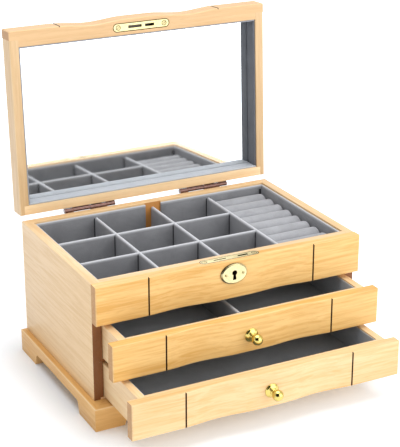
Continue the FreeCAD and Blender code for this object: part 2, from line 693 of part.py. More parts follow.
def stop_lug(x0, x1):
    """Rises behind the knuckle, to just under the lid leaf when the lid stands open."""
    face = PIVOT_BEHIND - LEAF
    out = (STOP_REACH + face * math.cos(OPEN_TURN)) / math.sin(OPEN_TURN)
    rise = face * math.sin(OPEN_TURN) + out * math.cos(OPEN_TURN) - STOP_GAP
    under = -KNUCKLE_RADIUS - KNUCKLE_GAP
    profile = [(-face, under), (-face, -STOP_DROP), (STOP_REACH, under - STOP_LUG), (STOP_REACH, rise),
               (STOP_REACH - STOP_LUG, rise), (STOP_REACH - STOP_LUG, under)]
    corners = [V(x0, PIVOT.y + y, PIVOT.z + z) for y, z in profile]
    return prism(corners, V(x1 - x0, 0, 0))


def hinge_leaf(centre, spans, low, high, knuckle_edge):
    """A leaf on the back face with its own knuckles wrapped round the pin."""
    plate = block(centre - HINGE_LENGTH / 2, centre + HINGE_LENGTH / 2, BACK, BACK + LEAF, low, high)
    pieces = []
    for x0, x1 in spans:
        pieces.append(rod(KNUCKLE_RADIUS, V(x0, PIVOT.y, PIVOT.z), ALONG, x1 - x0))
        z0, z1 = sorted((knuckle_edge, PIVOT.z))
        pieces.append(block(x0, x1, BACK, BACK + LEAF, z0, z1))
    leaf = plate.fuse(pieces).removeSplitter()
    bore = rod(HINGE_PIN_RADIUS + HINGE_PIN_PLAY, V(centre - HINGE_LENGTH, PIVOT.y, PIVOT.z), ALONG,
               2 * HINGE_LENGTH)
    return leaf.cut(bore)


def hinges():
    case_leaves, lid_leaves, pins = [], [], []
    for centre in (-HINGE_X, HINGE_X):
        spans = knuckles(centre)
        leaf = hinge_leaf(centre, spans[0::2], CASE_LEAF_TOP - LEAF_HEIGHT, CASE_LEAF_TOP, CASE_LEAF_TOP)
        middle = sum(spans[2]) / 2
        leaf = leaf.fuse(stop_lug(middle - STOP_LENGTH / 2, middle + STOP_LENGTH / 2)).removeSplitter()
        case_leaves.append(leaf.cut(hinge_leaf_holes(CASE_LEAF_MIDDLE)))
        leaf = hinge_leaf(centre, spans[1::2], LID_LEAF_LOW, LID_LEAF_LOW + LEAF_HEIGHT, LID_LEAF_LOW)
        lid_leaves.append(opened(leaf.cut(hinge_leaf_holes(LID_LEAF_MIDDLE))))
        start = V(centre - HINGE_LENGTH / 2, PIVOT.y, PIVOT.z)
        pins.append(rod(HINGE_PIN_RADIUS, start, ALONG, HINGE_LENGTH))
    save("hinge_case_leaves", *case_leaves)
    save("hinge_lid_leaves", *lid_leaves)
    save("hinge_pins", *pins)
    save("hinge_case_screws", *leaf_screws(CASE_LEAF_MIDDLE))
    save("hinge_lid_screws", *[opened(one) for one in leaf_screws(LID_LEAF_MIDDLE)])


def leaf_screws(level):
    return [screw(V(x, BACK + LEAF, level), FORWARD) for x in leaf_screw_columns()]


# ---- lid ----
def strike_room():
    """What the strike plate and the hook need cut out of the lid's front."""
    low, high = RIM + PLATE, RIM + PLATE + STRIKE_POCKET_DEPTH
    start, end, width = STRIKE_HOOK_SLOT
    reach = start - STRIKE_DUMMY_SLOT[1]
    pocket = slot_cutter((start - reach - width / 2, end, width), low, high)
    room = plate_blank(RIM, PLATE_PLAY).fuse(pocket)
    for place in strike_screw_places():
        room = room.fuse(screw_hole(place, UP))
    return room


def lid():
    panel = block(-INNER - LID_PANEL_LAP, INNER + LID_PANEL_LAP, LID_INNER_FRONT - LID_PANEL_LAP,
                  INNER_BACK + LID_PANEL_LAP, MIRROR_TOP, LID_TOP)
    side = block(-HALF, -INNER, LID_FRONT, BACK, RIM, LID_TOP)
    side = rounded(side, EDGE_ROUND, lambda b: near(b.XMax, -HALF) and near(b.YMin, LID_FRONT) and
                   near(b.YMax, BACK))
    side = side.cut([panel, back_board(RIM, LID_TOP)])
    save("lid_left_rail", opened(side))
    save("lid_right_rail", opened(mirrored(side)))

    back = back_board(RIM, LID_TOP)
    save("lid_back_rail", opened(back.cut([panel] + hinge_leaf_holes(LID_LEAF_MIDDLE))))

    room = strike_room()
    inner = block(-INNER, INNER, LID_FRONT, LID_INNER_FRONT, RIM, LID_TOP)
    save("lid_inner_front_rail", opened(inner.cut([panel, room])))
    save("lid_front_moulding", opened(bowed_board(LID_MOULDING, RIM, LID_TOP).cut(room)))
    save("lid_top_panel", opened(panel))

    glass = block(-INNER + MIRROR_PLAY, INNER - MIRROR_PLAY, LID_INNER_FRONT + MIRROR_PLAY,
                  INNER_BACK - MIRROR_PLAY, MIRROR_FACE, MIRROR_TOP)
    save("mirror", opened(glass))
    save("lid_lining", *[opened(board) for board in lid_lining_boards()])

    plate = plate_blank(RIM, 0)
    plate = plate.cut([slot_cutter(STRIKE_DUMMY_SLOT, RIM, RIM + PLATE),
                       slot_cutter(STRIKE_HOOK_SLOT, RIM, RIM + PLATE)])
    screws = []
    for place in strike_screw_places():
        plate = plate.cut(screw_hole(place, UP))
        screws.append(slotted(screw(place, UP), place, UP, STRIKE_SCREW_SLOT))
    save("strike_plate", opened(plate))
    save("strike_plate_screws", *[opened(one) for one in screws])


def lid_lining_boards():
    low, high = RIM + LID_LINING_DROP, MIRROR_FACE
    inner = INNER - LID_LINING
    return [block(-INNER, INNER, LID_INNER_FRONT, LID_INNER_FRONT + LID_LINING, low, high),
            block(-INNER, INNER, INNER_BACK - LID_LINING, INNER_BACK, low, high),
            block(-INNER, -inner, LID_INNER_FRONT + LID_LINING, INNER_BACK - LID_LINING, low, high),
            block(inner, INNER, LID_INNER_FRONT + LID_LINING, INNER_BACK - LID_LINING, low, high)]


# ---- drawers ----
def knob(level):
    """Turned knob: domed base, tapered neck and ball, axis along Y."""
    seat = V(0, FRONT, level)
    rise = KNOB_DOME - KNOB_RIM
    dome_radius = (KNOB_BASE_RADIUS ** 2 + rise ** 2) / (2 * rise)
    dome = Part.makeSphere(dome_radius, seat + FORWARD * (KNOB_DOME - dome_radius))
    base = dome.common(rod(KNOB_BASE_RADIUS, seat, FORWARD, KNOB_DOME))
    foot = KNOB_DOME - KNOB_NECK_RADIUS ** 2 / dome_radius
    neck = Part.makeCone(KNOB_NECK_RADIUS * KNOB_NECK_FLARE, KNOB_NECK_RADIUS, KNOB_BALL_REACH - foot,
                         seat + FORWARD * foot, FORWARD)
    ball = Part.makeSphere(KNOB_BALL_RADIUS, seat + FORWARD * KNOB_BALL_REACH)
    turned = base.fuse([neck, ball]).removeSplitter()
    return turned.cut(rod(KNOB_SCREW_RADIUS + HOLE_PLAY, seat, FORWARD, KNOB_SCREW_BITE))


def knob_screw(level, back):
    shank = rod(KNOB_SCREW_RADIUS, V(0, back, level), FORWARD, back - FRONT + KNOB_SCREW_BITE)
    head = rod(KNOB_SCREW_HEAD_RADIUS, V(0, back, level), FORWARD, KNOB_SCREW_HEAD)
    return shank.fuse(head).removeSplitter()


def knob_screw_hole(level, back):
    shank = rod(KNOB_SCREW_RADIUS + HOLE_PLAY, V(0, back, level), FORWARD, back - FRONT)
    return shank.fuse(rod(KNOB_SCREW_HEAD_RADIUS + HOLE_PLAY, V(0, back, level), FORWARD, KNOB_SCREW_HEAD))


def drawer(name, front_z, pull, divided):
    front_depth = FACING - DRAWER_STOP_GAP
    front_top = front_z + DRAWER_FRONT_HEIGHT
    low = front_z + DRAWER_BOX_LIFT
    outer = INNER - DRAWER_SIDE_PLAY
    inner = outer - DRAWER_SIDE
    start = FRONT + front_depth
    inside = start + DRAWER_INNER_FRONT
    end = INNER_BACK - DRAWER_BACK_GAP
    back_inside = end - DRAWER_SIDE
    panel_low = low + DRAWER_BOTTOM_RISE
    panel_top = panel_low + DRAWER_BOTTOM
    level = (front_z + front_top) / 2 - KNOB_BELOW_MIDDLE
    hole = knob_screw_hole(level, inside)

    def put(piece, *shapes):
        save(name + "_" + piece, *[pulled(shape, pull) for shape in shapes])

    deep = DRAWER_LET_IN + FIT
    groove = block(-inner - deep, inner + deep, start, back_inside + deep, panel_low, panel_top)
    put("front", bowed_board(front_depth, front_z, front_top).cut(hole))
    put("inner_front", block(-inner, inner, start, inside, panel_top, front_top).cut(hole))
    side = block(-outer, -inner, start, end, low, front_top).cut(groove)
    put("left_side", side)
    put("right_side", mirrored(side))
    put("back", block(-inner, inner, back_inside, end, low, front_top).cut(groove))
    put("bottom", block(-inner - DRAWER_LET_IN, inner + DRAWER_LET_IN, start, back_inside + DRAWER_LET_IN,
                        panel_low, panel_top))

    lining_top = front_top - DRAWER_LINING_DROP
    lined = inner - DRAWER_LINING
    lined_front, lined_back = inside + DRAWER_LINING, back_inside - DRAWER_LINING
    felt_top = panel_top + DRAWER_LINING
    lining = block(-inner, inner, inside, back_inside, panel_top, lining_top)
    put("lining", lining.cut(block(-lined, lined, lined_front, lined_back, felt_top, lining_top)))
    if divided:
        crest = front_top - DRAWER_DIVIDER_DROP
        put("divider", divider_board(V(0, lined_front, 0), V(0, lined_back, 0), felt_top, crest))
    put("knob", knob(level))
    put("knob_screw", knob_screw(level, inside))


def main():
    os.makedirs("parts", exist_ok=True)
    carcase()
    plinth()
    tray_lining()
    dividers()
    ring_pad()
    lock_parts()
    escutcheon_parts()
    hinges()
    lid()
    drawer("middle_drawer", MIDDLE_FRONT_Z, MIDDLE_PULL, True)
    drawer("lower_drawer", LOWER_FRONT_Z, LOWER_PULL, False)


main()
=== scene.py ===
import json
import math

import bmesh
import bpy
from mathutils import Euler, Matrix, Vector, noise


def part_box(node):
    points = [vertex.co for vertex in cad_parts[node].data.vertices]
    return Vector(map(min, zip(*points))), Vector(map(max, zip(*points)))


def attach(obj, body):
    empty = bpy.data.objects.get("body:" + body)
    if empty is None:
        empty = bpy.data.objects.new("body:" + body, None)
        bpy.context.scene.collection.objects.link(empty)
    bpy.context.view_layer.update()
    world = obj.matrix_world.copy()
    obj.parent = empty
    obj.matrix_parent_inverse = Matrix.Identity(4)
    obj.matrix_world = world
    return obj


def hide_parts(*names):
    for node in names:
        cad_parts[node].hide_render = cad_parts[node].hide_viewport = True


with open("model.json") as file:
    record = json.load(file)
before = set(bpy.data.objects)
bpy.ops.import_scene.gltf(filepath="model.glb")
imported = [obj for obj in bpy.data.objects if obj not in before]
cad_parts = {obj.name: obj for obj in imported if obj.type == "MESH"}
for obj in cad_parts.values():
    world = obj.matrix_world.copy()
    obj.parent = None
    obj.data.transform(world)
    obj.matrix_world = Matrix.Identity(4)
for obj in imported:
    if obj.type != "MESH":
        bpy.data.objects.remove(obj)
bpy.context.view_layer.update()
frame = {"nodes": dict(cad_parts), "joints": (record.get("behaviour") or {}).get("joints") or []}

MM = 0.001
NODES = frame["nodes"]
JOINTS = {joint["name"]: joint for joint in frame["joints"]}
DRAWERS = ("middle_drawer", "lower_drawer")
LID_PIVOT = Vector(JOINTS["lid_hinge"]["pos_m"])
LID_OPEN = math.radians(92.8)
V_GROOVE_X = 93.6 * MM           # middle of the box to the middle of a groove
V_GROOVE_HALF = 1.0 * MM         # a little more than half of a groove's width

# From a lid that is shut to the lid as it stands open.
RAISED = (Matrix.Translation(LID_PIVOT) @ Matrix.Rotation(-LID_OPEN, 4, "X")
          @ Matrix.Translation(-LID_PIVOT))
LOWERED = RAISED.inverted()

ALONG_X, ALONG_Y, ALONG_Z = Vector((1, 0, 0)), Vector((0, 1, 0)), Vector((0, 0, 1))
ALONG_LID = (RAISED.to_3x3() @ ALONG_Y).normalized()
STRIKE_FRONT = -ALONG_LID        # the way the lid's bowed front faces as the lid stands open


def rgb(red, green, blue):
    return (red, green, blue, 1.0)


# ---- node groups: each effect is built once and used by several finishes ----
class Sketch:
    """A node tree being drawn, with short names for the nodes that the groups use."""

    MIX_FIRST, MIX_SECOND, MIX_RESULT = 6, 7, 2      # the colour sockets of a Mix node

    def __init__(self, tree):
        self.tree = tree

    def node(self, kind, **settings):
        made = self.tree.nodes.new(kind)
        for name, value in settings.items():
            setattr(made, name, value)
        return made

    def put(self, value, socket):
        if isinstance(value, bpy.types.NodeSocket):
            self.tree.links.new(value, socket)
        else:
            socket.default_value = value

    def feed(self, made, *values):
        """Fills a node's inputs from the first one on."""
        for value, socket in zip(values, made.inputs):
            self.put(value, socket)
        return made

    def coordinate(self, kind):
        return self.node("ShaderNodeTexCoord").outputs[kind]

    def math(self, operation, *values, clamp=False):
        made = self.node("ShaderNodeMath", operation=operation, use_clamp=clamp)
        return self.feed(made, *values).outputs[0]

    def vector(self, operation, *values):
        made = self.feed(self.node("ShaderNodeVectorMath", operation=operation), *values)
        return made.outputs["Value" if operation in ("DOT_PRODUCT", "LENGTH") else "Vector"]

    def scaled(self, vector, factor):
        made = self.feed(self.node("ShaderNodeVectorMath", operation="SCALE"), vector)
        self.put(factor, made.inputs["Scale"])
        return made.outputs[0]

    def parts(self, vector):
        """The X, Y and Z of a vector."""
        return self.feed(self.node("ShaderNodeSeparateXYZ"), vector).outputs

    def hypotenuse(self, first, second):
        squares = [self.math("MULTIPLY", side, side) for side in (first, second)]
        return self.math("SQRT", self.math("ADD", *squares))

    def blend(self, share, first, second):
        made = self.node("ShaderNodeMix", data_type="RGBA")
        self.put(share, made.inputs["Factor"])
        self.put(first, made.inputs[self.MIX_FIRST])
        self.put(second, made.inputs[self.MIX_SECOND])
        return made.outputs[self.MIX_RESULT]

    def noise(self, place, scale, detail=2.0, roughness=0.5, distortion=0.0):
        made = self.node("ShaderNodeTexNoise")
        for label, value in (("Vector", place), ("Scale", scale), ("Detail", detail),
                             ("Roughness", roughness), ("Distortion", distortion)):
            self.put(value, made.inputs[label])
        return made.outputs["Fac"]

    def ramp(self, value, low, high, out_low=0.0, out_high=1.0):
        made = self.node("ShaderNodeMapRange", clamp=True)
        return self.feed(made, value, low, high, out_low, out_high).outputs[0]


COLOR_IN = ("Color", "Color", rgb(1, 1, 1))
COLOR_OUT = [("Color", "Color")]
SURFACE_OUT = [("Color", "Color"), ("Roughness", "Float"), ("Height", "Float")]


def effect(name, inputs, outputs):
    """Starts a node group: returns its sketch, its inputs and its outputs."""
    tree = bpy.data.node_groups.new(name, "ShaderNodeTree")
    for label, kind, value in inputs:
        socket = tree.interface.new_socket(label, in_out="INPUT",
                                           socket_type="NodeSocket" + kind)
        socket.default_value = value
    for label, kind in outputs:
        tree.interface.new_socket(label, in_out="OUTPUT", socket_type="NodeSocket" + kind)
    sketch = Sketch(tree)
    given = sketch.node("NodeGroupInput").outputs
    return sketch, given, sketch.node("NodeGroupOutput").inputs


PORE_TONE = rgb(0.42, 0.24, 0.11)
SPECKLE_TONE = rgb(0.2, 0.1, 0.06)
NAP_SHADOW = rgb(0.03, 0.03, 0.035)


def board_grain():
    """Pale close-grained timber: long soft figure, short pores, and duller end grain."""
    s, given, out = effect(
        "Board Grain",
        [("Grain Direction", "Vector", (1, 0, 0)), ("Board Offset", "Vector", (0, 0, 0)),
         ("Light Tone", "Color", rgb(0.8, 0.6, 0.35)), ("Dark Tone", "Color", rgb(0.7, 0.45, 0.2)),
         ("End Tone", "Color", rgb(0.5, 0.3, 0.2)), ("End Share", "Float", 0.75),
         ("Figure", "Float", 1.0)], SURFACE_OUT)
    direction = given["Grain Direction"]
    place = s.vector("ADD", s.coordinate("Object"), given["Board Offset"])
    run = s.scaled(direction, s.vector("DOT_PRODUCT", place, direction))
    across = s.vector("SUBTRACT", place, run)

    def stretched(length_share):
        """The place with its part along the grain drawn out."""
        return s.vector("ADD", across, s.scaled(run, length_share))

    broad = s.noise(stretched(0.10), scale=42.0, detail=3.0, roughness=0.55, distortion=0.9)
    streaks = s.noise(stretched(0.045), scale=330.0, detail=4.0, roughness=0.62, distortion=0.6)
    pores = s.noise(stretched(0.06), scale=1500.0)
    figure = s.ramp(broad, 0.34, 0.68)
    lines = s.ramp(streaks, 0.43, 0.62)
    dark = s.math("ADD", s.math("MULTIPLY", figure, 0.48), s.math("MULTIPLY", lines, 0.60))
    dark = s.math("MULTIPLY", dark, given["Figure"], clamp=True)
    tone = s.blend(dark, given["Light Tone"], given["Dark Tone"])
    pore_mask = s.ramp(pores, 0.60, 0.74, out_high=0.22)
    tone = s.blend(pore_mask, tone, PORE_TONE)
    facing = s.math("ABSOLUTE", s.vector("DOT_PRODUCT", s.coordinate("Normal"), direction))
    end = s.ramp(facing, 0.90, 0.99)
    speckle = s.noise(place, scale=900.0, detail=3.0, roughness=0.7)
    end_tone = s.blend(s.ramp(speckle, 0.35, 0.7, out_high=0.35), given["End Tone"], SPECKLE_TONE)
    tone = s.blend(s.math("MULTIPLY", end, given["End Share"]), tone, end_tone)
    s.put(tone, out["Color"])
    s.put(s.math("ADD", s.math("MULTIPLY", lines, 0.10), s.math("MULTIPLY", end, 0.2)),
          out["Roughness"])
    s.put(s.math("SUBTRACT", s.math("MULTIPLY", lines, 0.5), pore_mask), out["Height"])
    return s.tree


def groove_shade_and_stain():
    """Darkens the walls of the two V-grooves, which face sideways at a set distance out: a stain,
    with painted shade in the grooves.
    """
    s, given, out = effect(
        "Groove Shade And Stain",
        [COLOR_IN, ("Stain", "Color", rgb(0.1, 0.04, 0.02)),
         ("Groove From Middle", "Float", V_GROOVE_X), ("Half Width", "Float", V_GROOVE_HALF)],
        COLOR_OUT)
    from_middle = s.math("ABSOLUTE", s.parts(s.coordinate("Object"))["X"])
    off = s.math("SUBTRACT", from_middle, given["Groove From Middle"])
    close = s.math("LESS_THAN", s.math("ABSOLUTE", off), given["Half Width"])
    turned = s.math("ABSOLUTE", s.parts(s.coordinate("Normal"))["X"])
    sideways = s.math("GREATER_THAN", turned, 0.4)
    s.put(s.blend(s.math("MULTIPLY", close, sideways), given["Color"], given["Stain"]),
          out["Color"])
    return s.tree


def painted_edge_highlight():
    """Lightens the bevels and rounded edges: a painted highlight along every arris."""
    s, given, out = effect(
        "Painted Edge Highlight",
        [COLOR_IN, ("Arris Tone", "Color", rgb(0.95, 0.8, 0.6)), ("Amount", "Float", 0.6)],
        COLOR_OUT)
    facing = s.parts(s.coordinate("Normal"))
    sides = [s.math("ABSOLUTE", facing[axis]) for axis in "XYZ"]
    squareness = s.math("MAXIMUM", s.math("MAXIMUM", sides[0], sides[1]), sides[2])
    bevel = s.math("MULTIPLY", s.ramp(squareness, 0.97, 0.80), given["Amount"])
    s.put(s.blend(bevel, given["Color"], given["Arris Tone"]), out["Color"])
    return s.tree


def recess_shade_patch():
    """Puts one tone on the timber inside a box, for painted shade in recesses and gaps and for
    bare wood with painted shade.
    """
    s, given, out = effect(
        "Recess Shade Patch",
        [COLOR_IN, ("Patch Tone", "Color", rgb(0.1, 0.05, 0.02)),
         ("Centre", "Vector", (0, 0, 0)), ("Half Size", "Vector", (0.01, 0.01, 0.01))],
        COLOR_OUT)
    off = s.vector("ABSOLUTE", s.vector("SUBTRACT", s.coordinate("Object"), given["Centre"]))
    room = s.parts(s.vector("SUBTRACT", given["Half Size"], off))
    nearest = s.math("MINIMUM", s.math("MINIMUM", room["X"], room["Y"]), room["Z"])
    inside = s.math("GREATER_THAN", nearest, 0.0)
    s.put(s.blend(inside, given["Color"], given["Patch Tone"]), out["Color"])
    return s.tree


def rim_patina_and_shade():
    """Darkens every face of a plate that turns away from the polished one: patina, with painted
    shade on the rims and in keyholes and slots.
    """
    s, given, out = effect(
        "Rim Patina And Shade",
        [COLOR_IN, ("Patina", "Color", rgb(0.06, 0.04, 0.01)), ("Outward", "Vector", (0, -1, 0)),
         ("Fully Bright", "Float", 0.9), ("Fully Dark", "Float", 0.55)],
        COLOR_OUT)
    facing = s.vector("DOT_PRODUCT", s.coordinate("Normal"), given["Outward"])
    turned = s.ramp(facing, given["Fully Bright"], given["Fully Dark"])
    s.put(s.blend(turned, given["Color"], given["Patina"]), out["Color"])
    return s.tree


def plate_tarnish_and_shade():
    """Darkens a round-ended plate along its edge and round its two screws: tarnish, and painted
    shade in the ring round each screw head.
    """
    s, given, out = effect(
        "Plate Tarnish And Shade",
        [COLOR_IN, ("Tarnish", "Color", rgb(0.08, 0.06, 0.02)),
         ("Centre", "Vector", (0, 0, 0)), ("Across", "Vector", (0, 1, 0)),
         ("Half Length", "Float", 0.033), ("Half Width", "Float", 0.0047),
         ("Screw Place", "Float", 0.027), ("Ring Radius", "Float", 0.0029),
         ("Edge Width", "Float", 0.0008)],
        COLOR_OUT)
    place = s.vector("SUBTRACT", s.coordinate("Object"), given["Centre"])
    along = s.math("ABSOLUTE", s.parts(place)["X"])
    sideways = s.vector("DOT_PRODUCT", place, given["Across"])
    round_end = s.math("SUBTRACT", given["Half Length"], given["Half Width"])
    beyond = s.math("MAXIMUM", s.math("SUBTRACT", along, round_end), 0.0)
    inset = s.math("SUBTRACT", given["Half Width"], s.hypotenuse(beyond, sideways))
    edge = s.math("LESS_THAN", inset, given["Edge Width"])
    from_screw = s.hypotenuse(s.math("SUBTRACT", along, given["Screw Place"]), sideways)
    ring = s.math("LESS_THAN", from_screw, given["Ring Radius"])
    s.put(s.blend(s.math("MAXIMUM", edge, ring), given["Color"], given["Tarnish"]), out["Color"])
    return s.tree


def painted_crest_highlight():
    """Lightens velvet above a set level: a painted highlight along a board's top edge."""
    s, given, out = effect(
        "Painted Crest Highlight",
        [COLOR_IN, ("Crest Tone", "Color", rgb(0.6, 0.6, 0.62)),
         ("Crest Level", "Float", 0.14), ("Fade", "Float", 0.002)],
        COLOR_OUT)
    rise = s.math("SUBTRACT", s.parts(s.coordinate("Object"))["Z"], given["Crest Level"])
    above = s.math("DIVIDE", rise, given["Fade"], clamp=True)
    s.put(s.blend(above, given["Color"], given["Crest Tone"]), out["Color"])
    return s.tree


def painted_corner_shade():
    """Painted shade on velvet in the tight corners beside boards that cross it at an even pitch.
    """
    s, given, out = effect(
        "Painted Corner Shade",
        [COLOR_IN, ("Corner Shade Tone", "Color", rgb(0.02, 0.02, 0.022)),
         ("Pitch", "Float", 0.06875), ("Board Half", "Float", 0.0018),
         ("Corner Shade Width", "Float", 0.0016), ("Board Top", "Float", 0.1453)],
        COLOR_OUT)
    spot = s.parts(s.coordinate("Object"))
    columns = s.math("ROUND", s.math("DIVIDE", spot["X"], given["Pitch"]))
    off = s.math("SUBTRACT", spot["X"], s.math("MULTIPLY", columns, given["Pitch"]))
    from_board = s.math("SUBTRACT", s.math("ABSOLUTE", off), given["Board Half"])
    share = s.math("DIVIDE", from_board, given["Corner Shade Width"])
    below = s.math("LESS_THAN", spot["Z"], given["Board Top"])
    corner_shade = s.math("MULTIPLY", s.ramp(share, 1.0, 0.55), below)
    s.put(s.blend(s.math("MULTIPLY", corner_shade, 0.92), given["Color"], given["Corner Shade Tone"]),
          out["Color"])
    return s.tree


def velvet_pile():
    """Short pile: a fine nap, and soft patches where it was brushed the other way."""
    s, given, out = effect(
        "Velvet Pile",
        [("Color", "Color", rgb(0.3, 0.3, 0.32)), ("Brushed Color", "Color", rgb(0.4, 0.4, 0.42)),
         ("Patch Size", "Float", 30.0), ("Nap Size", "Float", 2600.0)],
        SURFACE_OUT)
    where = s.coordinate("Object")
    brushing = s.noise(where, given["Patch Size"], detail=3.0, roughness=0.6, distortion=0.6)
    nap = s.noise(where, given["Nap Size"], roughness=0.6)
    tone = s.blend(s.ramp(brushing, 0.36, 0.68), given["Color"], given["Brushed Color"])
    tone = s.blend(s.ramp(nap, 0.3, 0.75, 0.22, 0.0), tone, NAP_SHADOW)
    s.put(tone, out["Color"])
    s.put(s.math("MULTIPLY", nap, 0.12), out["Roughness"])
    s.put(nap, out["Height"])
    return s.tree


def handled_metal():
    """Plated metal with faint smears, and darker colour left where polishing doesn't reach."""
    s, given, out = effect(
        "Handled Metal",
        [("Color", "Color", rgb(0.9, 0.7, 0.3)), ("Dull Color", "Color", rgb(0.5, 0.3, 0.1)),
         ("Dullness", "Float", 0.3), ("Smear Size", "Float", 220.0)],
        SURFACE_OUT)
    where = s.coordinate("Object")
    wiping = s.noise(where, given["Smear Size"], detail=4.0, roughness=0.6, distortion=1.2)
    smears = s.ramp(wiping, 0.42, 0.72)
    fine = s.noise(where, scale=4200.0, detail=1.0)
    s.put(s.blend(s.math("MULTIPLY", smears, given["Dullness"]), given["Color"],
                  given["Dull Color"]), out["Color"])
    s.put(s.math("MULTIPLY", smears, s.math("MULTIPLY", given["Dullness"], 0.35)),
          out["Roughness"])
    s.put(fine, out["Height"])
    return s.tree


GRAIN, GROOVE_SHADE_AND_STAIN, PAINTED_EDGE_HIGHLIGHT, PILE = board_grain(), groove_shade_and_stain(), painted_edge_highlight(), velvet_pile()
PAINTED_CREST_HIGHLIGHT, PAINTED_CORNER_SHADE, METAL = painted_crest_highlight(), painted_corner_shade(), handled_metal()
RECESS_SHADE_PATCH, RIM_PATINA_AND_SHADE, PLATE_TARNISH_AND_SHADE = recess_shade_patch(), rim_patina_and_shade(), plate_tarnish_and_shade()


# ---- finishes ----
# Grain tones for each kind of board. Besides the wood's own colour, the plinth's and the lid
# stiles' darker tones are painted shade.
WOOD_TONES = {        # light, dark
    "front": (rgb(0.88, 0.565, 0.215), rgb(0.72, 0.38, 0.095)),
    "lower": (rgb(0.86, 0.605, 0.32), rgb(0.75, 0.45, 0.18)),
    "case": (rgb(0.82, 0.575, 0.32), rgb(0.72, 0.475, 0.235)),
    "pale": (rgb(0.86, 0.64, 0.38), rgb(0.76, 0.50, 0.25)),
    "lid": (rgb(0.73, 0.47, 0.24), rgb(0.64, 0.39, 0.175)),
    "shaded stile": (rgb(0.70, 0.48, 0.26), rgb(0.61, 0.395, 0.195)),
    "back rail": (rgb(0.93, 0.68, 0.40), rgb(0.84, 0.58, 0.31)),
    "plinth": (rgb(0.79, 0.465, 0.165), rgb(0.69, 0.37, 0.11)),
}
# Tone of the painted highlight on bevels and rounded edges.
EDGE_HIGHLIGHT_TONE = rgb(0.92, 0.74, 0.47)
END_TONE = rgb(0.46, 0.235, 0.10)
# Darker end grain with painted shade, for the side panels' edges and the dust board's edge.
END_GRAIN_AND_SHADE_TONE = rgb(0.20, 0.062, 0.010)
# Stain with painted shade for the V-grooves.
GROOVE_SHADE_AND_STAIN_TONE = rgb(0.045, 0.014, 0.004)
# Bare wood in the back's opening, darkened with painted shade.
BARE_WOOD_AND_SHADE_TONE = rgb(0.60, 0.26, 0.065)
# Painted shade in the lock's mortise and the strike's recess.
MORTISE_SHADE_TONE = rgb(0.045, 0.022, 0.008)
# Tarnish, and painted shade on plate edges, slot walls and round screws.
TARNISH_AND_SHADE_TONE = rgb(0.040, 0.026, 0.009)
# Tone of the painted highlight on velvet top edges.
CREST_HIGHLIGHT_TONE = rgb(0.58, 0.59, 0.62)
SHEEN_TONE = rgb(0.86, 0.88, 0.95)
LACQUER_ROUGHNESS = 0.38
VELVET_ROUGHNESS = 0.86
CREST_HIGHLIGHT_FADE = 3.2 * MM
DIVIDER_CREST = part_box("left_divider")[1].z
LINING_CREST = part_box("tray_lining")[1].z
DRAWER_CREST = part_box("middle_drawer_divider")[1].z
CORNER_SHADE_DROP = 1.0 * MM           # below a divider's crest, where the painted corner shade ends
PLATE_HALF_LENGTH, PLATE_HALF_WIDTH = 33.25 * MM, 4.7 * MM


def finish(name, **constants):
    """A new material with one Principled shader: returns it, its sketch and the shader."""
    made = bpy.data.materials.new(name)
    made.use_nodes = True
    sketch = Sketch(made.node_tree)
    shader = made.node_tree.nodes["Principled BSDF"]
    for label, value in constants.items():
        shader.inputs[label.replace("_", " ")].default_value = value
    return made, sketch, shader


def use_effect(sketch, tree, **values):
    made = sketch.node("ShaderNodeGroup", node_tree=tree)
    for label, value in values.items():
        sketch.put(value, made.inputs[label.replace("_", " ")])
    return made.outputs


def emboss(sketch, shader, height, depth, strength):
    bump = sketch.node("ShaderNodeBump")
    bump.inputs["Strength"].default_value = strength
    bump.inputs["Distance"].default_value = depth
    sketch.put(height, bump.inputs["Height"])
    sketch.put(bump.outputs["Normal"], shader.inputs["Normal"])


def wood(name, tones, direction, offset, figure, grooved, end, recess_shade):
    """end is a darker tone for end grain, partly painted shade, and the last argument a box of
    painted shade: its tone, centre and half size.
    """
    made, s, shader = finish(name, Coat_Weight=0.08, Coat_Roughness=0.25,
                             Specular_IOR_Level=0.34)
    light, dark = WOOD_TONES[tones]
    grain = use_effect(s, GRAIN, Grain_Direction=tuple(direction), Board_Offset=tuple(offset),
                       Light_Tone=light, Dark_Tone=dark, End_Tone=end or END_TONE,
                       End_Share=0.95 if end else 0.75, Figure=figure)
    # Painted highlight on bevels and rounded edges, fainter on the grooved fronts.
    tone = use_effect(s, PAINTED_EDGE_HIGHLIGHT, Color=grain["Color"], Arris_Tone=EDGE_HIGHLIGHT_TONE,
                      Amount=0.15 if grooved else 0.5)["Color"]
    # A stain with painted shade on the grooves' walls.
    if grooved:
        tone = use_effect(s, GROOVE_SHADE_AND_STAIN, Color=tone, Stain=GROOVE_SHADE_AND_STAIN_TONE)["Color"]
    # Painted shade inside a recess.
    if recess_shade:
        shade_tone, centre, half_size = recess_shade
        tone = use_effect(s, RECESS_SHADE_PATCH, Color=tone, Patch_Tone=shade_tone, Centre=centre,
                          Half_Size=half_size)["Color"]
    s.put(tone, shader.inputs["Base Color"])
    s.put(s.math("ADD", grain["Roughness"], LACQUER_ROUGHNESS), shader.inputs["Roughness"])
    emboss(s, shader, grain["Height"], depth=0.05 * MM, strength=0.5)
    return made


